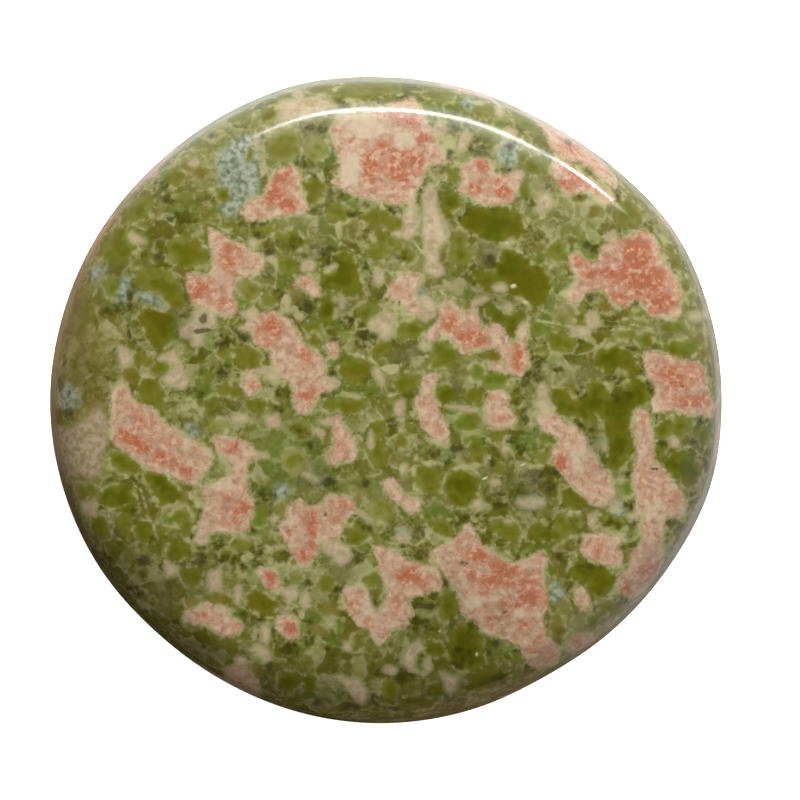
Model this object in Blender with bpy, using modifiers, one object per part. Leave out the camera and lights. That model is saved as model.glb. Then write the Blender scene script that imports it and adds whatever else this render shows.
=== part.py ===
# Unakite cabochon: one polished stone with a low domed top, a rounded shoulder and a flat back.
# Metres, +Z up. The origin is the middle of the flat back, +X along the longer side.

import math

import bmesh
import bpy

# Driving dimensions
THICKNESS = 0.0072
NOMINAL_RADIUS = 0.0200
DOME_RADIUS = 0.105
SHOULDER_RADIUS = 0.0030
SIDE_LEAN = math.radians(10.0)
FOOT_RADIUS = 0.0015

# The hand-ground outline: its radius at every 15 degrees, anticlockwise from +X
OUTLINE_RADII = (
    0.02010, 0.02008, 0.02002, 0.01952, 0.01922, 0.01928,
    0.01936, 0.01964, 0.01968, 0.01976, 0.01992, 0.02004,
    0.02014, 0.02006, 0.01988, 0.01956, 0.01943, 0.01940,
    0.01934, 0.01922, 0.01908, 0.01933, 0.01966, 0.02008,
)

# Fineness of the facets
STEPS_AROUND = 96
DOME_STEPS = 8
SHOULDER_STEPS = 9
FOOT_STEPS = 5

STONE_COLOUR = (0.22, 0.20, 0.06, 1.0)
STONE_ROUGHNESS = 0.12


def outline_radius(angle):
    """The outline's radius at an angle, on a smooth closed curve through OUTLINE_RADII."""
    count = len(OUTLINE_RADII)
    place = angle / (2.0 * math.pi) * count
    index = math.floor(place)
    t = place - index
    before, here, after, beyond = (OUTLINE_RADII[(index + k) % count] for k in (-1, 0, 1, 2))
    slope = (after - before) / 2.0
    next_slope = (beyond - here) / 2.0
    return (
        (2 * t**3 - 3 * t**2 + 1) * here
        + (t**3 - 2 * t**2 + t) * slope
        + (3 * t**2 - 2 * t**3) * after
        + (t**3 - t**2) * next_slope
    )


def arc(centre_r, centre_z, radius, start, end, steps):
    """Points (r, z) of an arc, both ends included. The angle is the slope of the surface, 0 where it is level."""
    turns = [start + (end - start) * k / steps for k in range(steps + 1)]
    return [(centre_r + radius * math.sin(a), centre_z + radius * math.cos(a)) for a in turns]


def profile():
    """The turned profile as (r, z), from the top of the dome out over the shoulder and down to the flat back."""
    steepest = math.pi / 2.0 - SIDE_LEAN
    reach = (
        NOMINAL_RADIUS
        - SHOULDER_RADIUS * math.sin(steepest)
        - (THICKNESS - DOME_RADIUS + SHOULDER_RADIUS * math.cos(steepest) - FOOT_RADIUS) * math.tan(SIDE_LEAN)
    )
    dome_slope = math.asin(reach * math.cos(SIDE_LEAN) / (DOME_RADIUS - SHOULDER_RADIUS)) - SIDE_LEAN
    shoulder_r = (DOME_RADIUS - SHOULDER_RADIUS) * math.sin(dome_slope)
    shoulder_z = THICKNESS - DOME_RADIUS + (DOME_RADIUS - SHOULDER_RADIUS) * math.cos(dome_slope)

    dome = arc(0.0, THICKNESS - DOME_RADIUS, DOME_RADIUS, 0.0, dome_slope, DOME_STEPS)
    shoulder = arc(shoulder_r, shoulder_z, SHOULDER_RADIUS, dome_slope, steepest, SHOULDER_STEPS)
    foot = arc(
        NOMINAL_RADIUS - FOOT_RADIUS, FOOT_RADIUS, FOOT_RADIUS, math.pi / 2.0, math.pi, FOOT_STEPS
    )
    return dome + shoulder[1:] + foot + [(0.0, 0.0)]


def clear_scene():
    for obj in list(bpy.data.objects):
        bpy.data.objects.remove(obj, do_unlink=True)


def collection_named(name):
    collection = bpy.data.collections.new(name)
    bpy.context.scene.collection.children.link(collection)
    return collection


def stone_material():
    material = bpy.data.materials.new("polished_unakite")
    material.use_nodes = True
    shader = material.node_tree.nodes["Principled BSDF"]
    shader.inputs["Base Color"].default_value = STONE_COLOUR
    shader.inputs["Roughness"].default_value = STONE_ROUGHNESS
    shader.inputs["Metallic"].default_value = 0.0
    return material


def turned_blank(collection):
    """The round blank, turned from the profile with a Screw modifier and kept as a plain mesh."""
    points = [(r, 0.0, z) for r, z in profile()]
    line = bpy.data.meshes.new("blank_profile")
    line.from_pydata(points, [(k, k + 1) for k in range(len(points) - 1)], [])
    blank = bpy.data.objects.new("blank", line)
    collection.objects.link(blank)

    screw = blank.modifiers.new("turn", "SCREW")
    screw.axis = "Z"
    screw.steps = STEPS_AROUND
    screw.render_steps = STEPS_AROUND
    screw.use_merge_vertices = True
    screw.merge_threshold = 0.00001

    graph = bpy.context.evaluated_depsgraph_get()
    mesh = bpy.data.meshes.new_from_object(blank.evaluated_get(graph))
    bpy.data.objects.remove(blank, do_unlink=True)
    return mesh


def grind_to_outline(mesh):
    """Moves each point in or out, so that the round blank takes the hand-ground outline, and centres it."""
    for vertex in mesh.vertices:
        share = outline_radius(math.atan2(vertex.co.y, vertex.co.x)) / NOMINAL_RADIUS
        vertex.co.x *= share
        vertex.co.y *= share
    for axis in (0, 1):
        places = [vertex.co[axis] for vertex in mesh.vertices]
        middle = (min(places) + max(places)) / 2.0
        for vertex in mesh.vertices:
            vertex.co[axis] -= middle


def flatten_back(mesh):
    """Makes the flat back one face, and turns every face outwards."""
    shape = bmesh.new()
    shape.from_mesh(mesh)
    back = [face for face in shape.faces if all(v.co.z < FOOT_RADIUS * 0.001 for v in face.verts)]
    bmesh.ops.dissolve_faces(shape, faces=back, use_verts=False)
    bmesh.ops.recalc_face_normals(shape, faces=shape.faces)
    shape.to_mesh(mesh)
    shape.free()


def build_cabochon():
    collection = collection_named("unakite_cabochon")
    mesh = turned_blank(collection)
    mesh.name = "cabochon"
    grind_to_outline(mesh)
    flatten_back(mesh)
    mesh.materials.clear()
    mesh.materials.append(stone_material())
    mesh.shade_smooth()
    mesh.set_sharp_from_angle(angle=math.radians(40.0))
    cabochon = bpy.data.objects.new("cabochon", mesh)
    collection.objects.link(cabochon)
    return cabochon


clear_scene()
build_cabochon()
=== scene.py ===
import math
import random

import bmesh
import bpy
import numpy as np
from mathutils import Matrix, Vector


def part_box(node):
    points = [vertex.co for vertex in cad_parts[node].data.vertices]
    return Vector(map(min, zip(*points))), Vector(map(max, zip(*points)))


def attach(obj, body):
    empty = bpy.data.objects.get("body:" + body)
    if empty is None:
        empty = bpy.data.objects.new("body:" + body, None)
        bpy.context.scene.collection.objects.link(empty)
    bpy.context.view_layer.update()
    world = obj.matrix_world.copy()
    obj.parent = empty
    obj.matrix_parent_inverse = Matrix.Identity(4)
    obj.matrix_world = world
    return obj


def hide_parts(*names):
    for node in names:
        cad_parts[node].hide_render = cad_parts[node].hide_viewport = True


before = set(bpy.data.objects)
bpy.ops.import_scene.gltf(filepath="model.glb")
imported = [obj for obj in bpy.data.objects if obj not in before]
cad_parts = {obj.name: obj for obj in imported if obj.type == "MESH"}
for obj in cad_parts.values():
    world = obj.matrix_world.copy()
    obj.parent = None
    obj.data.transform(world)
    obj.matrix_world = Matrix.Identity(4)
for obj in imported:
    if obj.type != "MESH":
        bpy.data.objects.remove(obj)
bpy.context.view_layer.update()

# Polished stone
# The real piece is one slice of unakite, a granite of salmon feldspar and olive epidote in a fine
# grey-green groundmass. It was ground to a low dome with a rounded shoulder and a flat back by hand
# on a wheel, and polished all over.
MM = 0.001
LOW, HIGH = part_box("cabochon")
THICKNESS = HIGH[2] - LOW[2]
NOMINAL_RADIUS = 0.0200
DOME_RADIUS = 0.105
SHOULDER_RADIUS = 0.0030
SIDE_LEAN = math.radians(10.0)
FOOT_RADIUS = 0.0015

# The hand-ground outline: its radius at every 15 degrees, anticlockwise from +X
OUTLINE_RADII = (
    0.02010, 0.02008, 0.02002, 0.01952, 0.01922, 0.01928,
    0.01936, 0.01964, 0.01968, 0.01976, 0.01992, 0.02004,
    0.02014, 0.02006, 0.01988, 0.01956, 0.01943, 0.01940,
    0.01934, 0.01922, 0.01908, 0.01933, 0.01966, 0.02008,
)

# Fineness of the mesh
TOP_STEPS = 240
BACK_STEPS = 116
SIDE_RINGS = 9
FOOT_RINGS = 11
BACK_GRID_SHARE = 0.991

STEEPEST = math.pi / 2.0 - SIDE_LEAN
REACH = (
    NOMINAL_RADIUS
    - SHOULDER_RADIUS * math.sin(STEEPEST)
    - (THICKNESS - DOME_RADIUS + SHOULDER_RADIUS * math.cos(STEEPEST) - FOOT_RADIUS) * math.tan(SIDE_LEAN)
)
DOME_SLOPE = math.asin(REACH * math.cos(SIDE_LEAN) / (DOME_RADIUS - SHOULDER_RADIUS)) - SIDE_LEAN
SHOULDER_R = (DOME_RADIUS - SHOULDER_RADIUS) * math.sin(DOME_SLOPE)
SHOULDER_Z = THICKNESS - DOME_RADIUS + (DOME_RADIUS - SHOULDER_RADIUS) * math.cos(DOME_SLOPE)


def outline_radius(angle):
    """The outline's radius at an angle, on a smooth closed curve through OUTLINE_RADII."""
    count = len(OUTLINE_RADII)
    place = angle / (2.0 * math.pi) * count
    index = math.floor(place)
    t = place - index
    before, here, after, beyond = (OUTLINE_RADII[(index + k) % count] for k in (-1, 0, 1, 2))
    slope = (after - before) / 2.0
    next_slope = (beyond - here) / 2.0
    return (
        (2 * t**3 - 3 * t**2 + 1) * here
        + (t**3 - 2 * t**2 + t) * slope
        + (3 * t**2 - 2 * t**3) * after
        + (t**3 - t**2) * next_slope
    )


def top_profile(share):
    """(r, z) on the dome and the shoulder, at a share of the way from the middle to the shoulder's end."""
    dome_length = DOME_RADIUS * DOME_SLOPE
    length = share * (dome_length + SHOULDER_RADIUS * (STEEPEST - DOME_SLOPE))
    if length < dome_length:
        slope = length / DOME_RADIUS
        return DOME_RADIUS * math.sin(slope), THICKNESS - DOME_RADIUS * (1.0 - math.cos(slope))
    slope = DOME_SLOPE + (length - dome_length) / SHOULDER_RADIUS
    return SHOULDER_R + SHOULDER_RADIUS * math.sin(slope), SHOULDER_Z + SHOULDER_RADIUS * math.cos(slope)


def side_profile():
    """(r, z) of each ring below the shoulder: down the leaning side and in round the foot to the back."""
    top_r, top_z = top_profile(1.0)
    rings = []
    for k in range(1, SIDE_RINGS + 1):
        share = k / SIDE_RINGS
        rings.append((top_r + (NOMINAL_RADIUS - top_r) * share, top_z + (FOOT_RADIUS - top_z) * share))
    for k in range(1, FOOT_RINGS + 1):
        turn = math.pi / 2.0 * k / FOOT_RINGS
        rings.append((
            NOMINAL_RADIUS - FOOT_RADIUS * (1.0 - math.cos(turn)), FOOT_RADIUS * (1.0 - math.sin(turn)),
        ))
    return rings


def in_disc(x, y):
    """Takes a point of the square from -1 to 1 to (share of the radius, angle), keeping areas even."""
    if abs(x) > abs(y):
        return abs(x), math.pi / 4.0 * y / x + (math.pi if x < 0.0 else 0.0)
    if y == 0.0:
        return 0.0, 0.0
    return abs(y), math.pi / 2.0 - math.pi / 4.0 * x / y + (math.pi if y < 0.0 else 0.0)


def ground_place(r, angle, z):
    """A point of the round blank, moved to the hand-ground outline."""
    radius = r * outline_radius(angle) / NOMINAL_RADIUS
    return Vector((radius * math.cos(angle), radius * math.sin(angle), z))


def disc(shape, steps, place):
    """Adds a square grid that is rounded to a disc by place(share, angle), and returns its rim edges."""
    made = bmesh.ops.create_grid(shape, x_segments=steps, y_segments=steps, size=1.0)
    for vertex in made["verts"]:
        vertex.co = place(*in_disc(vertex.co.x, vertex.co.y))
    points = set(made["verts"])
    return [edge for edge in shape.edges if edge.is_boundary and edge.verts[0] in points]


def stone_mesh():
    shape = bmesh.new()

    def on_top(share, angle):
        r, z = top_profile(share)
        return ground_place(r, angle, z)

    def on_back(share, angle):
        return ground_place(share * (NOMINAL_RADIUS - FOOT_RADIUS) * BACK_GRID_SHARE, angle, 0.0)

    rim = disc(shape, TOP_STEPS, on_top)
    for r, z in side_profile():
        made = bmesh.ops.extrude_edge_only(shape, edges=rim)["geom"]
        for vertex in (item for item in made if isinstance(item, bmesh.types.BMVert)):
            vertex.co = ground_place(r, math.atan2(vertex.co.y, vertex.co.x), z)
        rim = [item for item in made if isinstance(item, bmesh.types.BMEdge) and item.is_boundary]
    back_rim = disc(shape, BACK_STEPS, on_back)
    bmesh.ops.bridge_loops(shape, edges=rim + back_rim)
    bmesh.ops.triangulate(shape, faces=[face for face in shape.faces if len(face.verts) > 4])
    bmesh.ops.recalc_face_normals(shape, faces=shape.faces)

    # Extruding makes its faces in no fixed order, so they are put in the same order each run
    in_order = sorted(shape.faces, key=lambda face: tuple(face.calc_center_median()))
    for index, face in enumerate(in_order):
        face.index = index
    shape.faces.sort()

    corners = [vertex.co for vertex in shape.verts]
    middle = Vector([(min(c[k] for c in corners) + max(c[k] for c in corners)) / 2.0 for k in (0, 1)] + [0.0])
    bmesh.ops.translate(shape, verts=shape.verts, vec=-middle)
    for face in shape.faces:
        face.smooth = True
    mesh = bpy.data.meshes.new("polished_stone")
    shape.to_mesh(mesh)
    shape.free()
    return mesh


# The crystals on the polished face, with their outlines read off, in millimetres from the middle
# of the stone, +X right and +Y away.
SALMON = (
    ((-3.3, 16.0), (-3.0, 16.9), (-2.6, 17.2), (-1.5, 17.0), (0, 17.4), (0.7, 17.7), (1.6, 18.0),
     (2.0, 17.6), (2.5, 16.4), (2.9, 15.9), (3.1, 15.3), (3.5, 14.9), (3.5, 14.1), (2.5, 14.0),
     (2.2, 13.2), (1.8, 12.4), (1.7, 11.7), (0.9, 11.6), (-0.8, 11.8), (-1.9, 12.2), (-2.6, 12.6),
     (-3.2, 13.0), (-2.9, 13.4), (-2.7, 14.0), (-2.9, 14.6), (-3.1, 15.3)),
    ((-5.5, 13.9), (-6.6, 13.7), (-7.0, 12.9), (-7.3, 12.2), (-8.3, 11.8), (-8.6, 11.4), (-8.3, 10.7),
     (-7.0, 10.8), (-6.2, 11.0), (-5.0, 11.0), (-4.6, 11.3), (-4.9, 12.0), (-5.1, 12.9), (-5.0, 13.4)),
    ((4.5, 13.9), (5.1, 14.3), (6.1, 14.4), (6.3, 13.9), (6.4, 13.5), (7.3, 13.4), (8.0, 13.6),
     (8.1, 13.2), (7.7, 12.3), (7.6, 11.9), (7.2, 11.7), (5.9, 11.6), (5.3, 11.8), (4.8, 12.1),
     (4.3, 12.5), (4.6, 13.0)),
    ((9.3, 16.4), (10.5, 15.9), (11.5, 15.4), (12.5, 14.9), (13.5, 14.0), (13.9, 13.5), (13.7, 12.7),
     (12.9, 13.1), (12.2, 13.9), (11.6, 14.3), (11.0, 14.3), (10.3, 14.4), (10, 14.9)),
    ((9.9, 13.6), (10.0, 14.3), (10.8, 14.1), (11.6, 13.6), (12.5, 13.0), (13.4, 12.4), (13.6, 12.0),
     (13.3, 11.6), (12.6, 12.0), (12.0, 12.4), (11.3, 12.3), (10.6, 12.2), (10.4, 12.8)),
    ((-11.8, 7.4), (-11.3, 7.6), (-10.7, 7.3), (-10.3, 7.9), (-10.4, 9.2), (-10.5, 10.2), (-10.0, 10.0),
     (-9.3, 9.5), (-8.5, 9.2), (-8, 8.8), (-7.4, 8.6), (-7.2, 8.2), (-7.4, 7.7), (-7.8, 7.4),
     (-8.6, 7.3), (-9, 7.1), (-9.1, 6.6), (-9.0, 6), (-8.9, 5.4), (-9.1, 5), (-9.6, 5.0), (-10.2, 5.3),
     (-10.9, 5.5), (-11.5, 5.7), (-11.6, 6.2), (-11.8, 6.8)),
    ((-8.3, 4.5), (-7.9, 4.9), (-7.2, 5.2), (-6.7, 5.2), (-6.2, 5.0), (-5.7, 4.7), (-5.1, 3.9),
     (-5.0, 3.4), (-4.6, 3.1), (-4.1, 2.9), (-3.8, 2.5), (-3.6, 2.0), (-3.5, 1.3), (-3.2, 1.0),
     (-3.3, 0.5), (-3.9, 0.5), (-4.1, 0.1), (-4.2, -0.3), (-4.6, -0.8), (-5.1, -0.8), (-5.5, -0.3),
     (-5.5, 0.7), (-5.8, 1.2), (-6.3, 1.6), (-6.7, 1.9), (-6.8, 2.4), (-6.9, 2.9), (-7.3, 3.1),
     (-7.8, 3.5), (-7.9, 3.9)),
    ((-3.5, 3.3), (-3.0, 3.4), (-2.8, 2.7), (-3.3, 2.3)),
    ((-5.4, 6.9), (-5.0, 7.3), (-4.6, 7.4), (-4.2, 7.1), (-4, 6.6), (-3.9, 6.2), (-4.3, 6.1),
     (-4.9, 6.5)),
    ((-8.6, 1.5), (-8, 1.7), (-7.6, 1.2), (-7.5, 0.6), (-7.9, 0.2), (-8.3, 0.4), (-8.6, 0.9)),
    ((0.8, 7.5), (1.9, 7.5), (2.2, 7.2), (1.9, 6.8), (1.8, 6.3), (1.9, 5.8), (1.8, 5.2), (1.2, 5.1),
     (1.0, 5.7), (0.7, 5.9), (0.3, 5.9), (0.1, 6.3), (0.3, 6.9), (0.6, 7.1)),
    ((3.1, 5.6), (3.9, 5.9), (4.2, 5.6), (4.7, 5.2), (5.3, 5.5), (5.6, 4.7), (5.7, 4.2), (6.3, 4.5),
     (6.6, 4.5), (7.0, 4.2), (7.1, 3.8), (7.5, 3.4), (7.9, 3.5), (7.8, 4.0), (8.0, 4.4), (8.4, 4.5),
     (8.4, 3.9), (8.2, 3.3), (8.5, 2.6), (8.5, 2.0), (8.0, 1.5), (7.4, 1.6), (6.8, 1.7), (6.2, 1.9),
     (6.1, 2.2), (7.0, 2.2), (6.9, 2.8), (6.5, 3.2), (6.0, 3.1), (5.4, 3.0), (4.9, 2.8), (4.4, 3.0),
     (4.2, 3.3), (3.8, 3.7), (3.2, 3.8), (2.8, 3.6), (2.3, 3.3), (2.2, 3.7), (2.6, 4.2), (3.1, 4.7),
     (3.3, 5.1)),
    ((1.7, 0), (2.1, 0.5), (2.3, 1.4), (2.8, 1.6), (3.2, 1.4), (2.9, 1.1), (2.8, 0.5), (3.0, -0.2),
     (3.2, -0.7), (3.4, -1.2), (3.6, -1.6), (3.7, -2.2), (3.6, -2.8), (3.2, -2.6), (2.8, -2.4),
     (2.7, -2.0), (2.2, -1.5), (2.0, -1.0), (1.8, -0.5)),
    ((6.2, 0.5), (7.0, 0.6), (7.3, 0.1), (7.2, -0.2), (7.5, -0.7), (7.7, -1.1), (7.5, -1.6), (6.9, -1.6),
     (6.3, -1.7), (6.0, -1.3), (5.8, -0.8), (5.9, -0.3)),
    ((12.8, 9.1), (13.5, 9.5), (14.2, 9.6), (14.6, 9.9), (15.2, 10.1), (15.9, 9.8), (16.2, 9.2),
     (16.5, 8.6), (16.8, 8.0), (17.2, 7.4), (17.5, 6.8), (17.6, 6.0), (17.6, 5.3), (17.2, 4.9),
     (16.6, 4.9), (16, 5.0), (15.5, 5.4), (15.2, 5.9), (14.8, 6.1), (14.4, 5.6), (13.8, 5.5),
     (13.4, 5.8), (13.2, 6.3), (12.8, 6.6), (12.2, 6.5), (11.8, 6.4), (11.6, 5.9), (11.3, 5.6),
     (10.8, 5.9), (10.6, 6.4), (11, 6.8), (11.5, 7.2), (11.2, 7.6), (10.9, 8.1), (11, 8.6), (11.4, 8.9),
     (11.8, 8.4), (12.3, 8.1), (12.7, 8.4)),
    ((15.3, 2.8), (16, 2.9), (16.8, 2.7), (17.3, 2.4), (18, 2.3), (18.6, 2.2), (19, 1.9), (19.1, 1.2),
     (19.3, 0.2), (19.6, -0.5), (19.4, -1.0), (18.8, -0.9), (17.9, -0.9), (17, -0.6), (16.0, -0.7),
     (15.8, -0.2), (16.2, 0.5), (16, 0.9), (15.6, 1.3), (15.5, 1.9)),
    ((-16.3, 0.4), (-15.6, 0.9), (-15.2, 0.1), (-14.6, -0.3), (-13.8, -0.6), (-13.4, -1.1),
     (-12.9, -1.6), (-12.2, -1.9), (-11.6, -2.3), (-11.1, -2.6), (-10.5, -2.9), (-10.3, -3.4),
     (-10.6, -4.2), (-11, -4.6), (-11.5, -5.0), (-12, -4.9), (-12.6, -4.6), (-13.3, -4.3), (-14, -4.2),
     (-14.5, -3.9), (-15, -3.4), (-15.4, -3.1), (-16, -2.8), (-16.3, -2.3), (-16.4, -1.5)),
    ((-10.3, -2.2), (-9.6, -2.1), (-9.0, -2.3), (-8.5, -2.5), (-8.0, -2.7), (-7.7, -3.2), (-7.8, -3.6),
     (-8.2, -3.7), (-8.3, -4.3), (-8.2, -4.9), (-8.2, -5.5), (-7.9, -6.1), (-7.9, -6.9), (-8.2, -7.2),
     (-8.2, -7.7), (-8.8, -7.9), (-9.3, -8.0), (-10, -7.8), (-10.6, -8.0), (-11.0, -8.5), (-11.4, -8.4),
     (-11.3, -8.0), (-11.1, -7.4), (-10.9, -6.8), (-10.8, -6.0), (-10.9, -5.2), (-10, -4.8),
     (-9.2, -4.6), (-8.9, -4.0), (-9.3, -3.5), (-9.9, -3.2)),
    ((-3.0, -1.0), (-2.8, -1.1), (-2.5, -1.5), (-2.1, -2.0), (-1.8, -2.6), (-1.8, -3.3), (-2.0, -3.7),
     (-2.6, -3.6), (-3.0, -3.9), (-3.4, -3.7), (-3.7, -3.2), (-3.4, -3.0), (-3.1, -2.7), (-3.1, -2.0)),
    ((-5.8, -6.3), (-5.1, -6.0), (-4.6, -6.3), (-4.1, -6.3), (-3.7, -6.1), (-3.4, -5.7), (-2.8, -5.7),
     (-2.3, -5.7), (-1.9, -6.1), (-1.9, -6.6), (-2.3, -7.1), (-2.6, -7.6), (-2.8, -8.1), (-3.4, -8.3),
     (-3.9, -8.2), (-4.0, -8.8), (-4.3, -9.4), (-4.7, -9.9), (-5.1, -9.8), (-5.4, -9.3), (-5.7, -8.8),
     (-6.0, -8.2), (-6.3, -7.8), (-6.3, -7.4), (-5.9, -7.1)),
    ((-0.2, -4.9), (0.3, -4.7), (0.8, -5.1), (0.9, -5.6), (1.4, -5.8), (2.0, -5.9), (2.0, -6.3),
     (1.7, -6.8), (1.2, -6.6), (0.9, -6.2), (0.5, -5.9), (0.1, -5.5)),
    ((-0.8, -8.7), (0, -8.8), (0.8, -9.0), (1.3, -9.6), (2.2, -9.9), (3.0, -9.9), (3.2, -10.6),
     (3.2, -11.3), (2.6, -11.4), (2.2, -11.5), (1.7, -11.6), (1.4, -12.0), (1.5, -12.4), (1.7, -12.7),
     (1.3, -13.0), (1.2, -13.4), (0.5, -13.6), (0.3, -13.9), (-0.4, -14.5), (-0.8, -14.1), (-1.0, -13.6),
     (-1.6, -13.4), (-1.9, -12.9), (-2.3, -12.5), (-2.6, -12.0), (-2.5, -11.5), (-2.3, -11.1),
     (-1.6, -11.0), (-1.1, -11.4), (-0.9, -12.2), (-0.5, -12.6), (0, -12.0), (0.1, -11.3), (-0.2, -10.6),
     (-0.4, -9.6)),
    ((2.7, -9.0), (3.4, -8.7), (4.0, -8.4), (4.4, -8.0), (4.7, -7.5), (5.0, -7.4), (5.2, -7.8),
     (5.5, -8.3), (5.7, -8.7), (6.2, -8.8), (6.6, -9.1), (7.1, -9.5), (7.6, -9.7), (8.2, -9.6),
     (8.8, -9.2), (9.4, -9.0), (9.6, -9.6), (9.4, -10.3), (9.3, -11.0), (9.6, -11.6), (9.6, -12.3),
     (9.3, -12.9), (9.4, -13.6), (9.6, -14.2), (10.4, -14.8), (10.2, -15.8), (9, -15.9), (8.4, -15.6),
     (8.1, -14.9), (7.9, -14.6), (7.3, -14.2), (6.5, -14.1), (6.0, -13.9), (5.6, -13.6), (5.4, -13.1),
     (4.9, -13.0), (4.5, -12.6), (4.4, -11.9), (4.2, -11.3), (3.9, -10.9), (3.5, -10.2), (3.1, -9.8),
     (2.7, -9.5)),
    ((9.0, -1.1), (9.6, -0.6), (10.2, -1.0), (10.8, -1.3), (11.2, -1.5), (11.5, -1.9), (11.9, -2.2),
     (12.0, -2.7), (12.5, -3.3), (12.9, -4.0), (13.4, -4.4), (13.5, -4.9), (13.6, -5.5), (13.4, -6.0),
     (12.8, -6.3), (12.2, -6.1), (11.8, -5.7), (11.3, -5.3), (10.9, -4.9), (10.6, -4.4), (10.2, -4.0),
     (9.9, -3.7), (9.9, -3.1), (10.3, -2.4), (9.9, -2.0), (9.3, -1.8)),
    ((14.7, -0.9), (15.0, -0.5), (15.5, -0.6), (15.7, -1.2), (15.9, -2.0), (15.9, -3.0), (16.0, -3.7),
     (16.3, -3.9), (16.6, -4.2), (16.9, -4.7), (17.3, -5.2), (17.7, -5.6), (17.9, -6.1), (17.8, -6.8),
     (17.4, -7.1), (16.6, -6.9), (16.5, -7.3), (16.7, -7.8), (16.4, -8.4), (16.7, -9.2), (16.4, -10.4),
     (16.0, -11.1), (15.2, -11.7), (14.5, -11.8), (14.0, -11.5), (13.7, -11.0), (13.9, -10.5),
     (14.5, -9.9), (14.6, -9.2), (15.0, -8.8), (15.2, -8.2), (15.1, -7.4), (15.3, -7.0), (14.9, -6.7),
     (14.9, -6.0), (14.8, -5.5), (14.7, -4.8), (14.8, -4.1), (15.0, -3.5), (14.9, -2.5), (14.8, -1.8)),
    ((11.7, -8.5), (11.8, -8.0), (12.2, -8.0), (13, -7.9), (13.5, -8.0), (14.2, -8.0), (14.2, -8.4),
     (13.7, -8.7), (14.0, -9.1), (14.0, -9.9), (13.4, -9.9), (12.5, -9.6), (11.8, -9.3), (11.6, -8.9)),
    ((-12.0, -12.6), (-11.3, -12.4), (-10.8, -12.1), (-10.2, -12.3), (-9.6, -12.3), (-9.2, -13.0),
     (-8.7, -13.2), (-8.5, -13.4), (-8.7, -13.8), (-9.1, -14.0), (-9.7, -14.0), (-10.2, -13.8),
     (-10.6, -13.4), (-11.3, -13.3), (-12.0, -13.1)),
    ((-7.7, -10.2), (-7.2, -10.0), (-6.6, -10.1), (-6.4, -10.6), (-6.2, -11.2), (-6.4, -11.4),
     (-6.9, -11.2), (-7.2, -10.8)),
    ((-6.5, -13.1), (-6.0, -12.7), (-5.5, -12.8), (-5.2, -13.2), (-5.2, -13.9), (-5.6, -14.3),
     (-6.1, -14.0), (-6.5, -13.6)),
    ((-8.9, -15.3), (-8.4, -15.4), (-8.3, -16.0), (-7.9, -16.4), (-7.6, -16.9), (-7.5, -17.5),
     (-8.6, -17.4), (-9.6, -16.9), (-9.6, -16.0), (-9.0, -15.8)),
    ((11.3, -13.9), (12.4, -14.0), (12.3, -14.3), (11.6, -14.8), (11.0, -15.0), (10.7, -14.6)),
    ((11.3, -10.9), (11.8, -11.3), (12.2, -12.0), (12.2, -12.4), (11.6, -12.5), (11.3, -11.9)),
)

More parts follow.
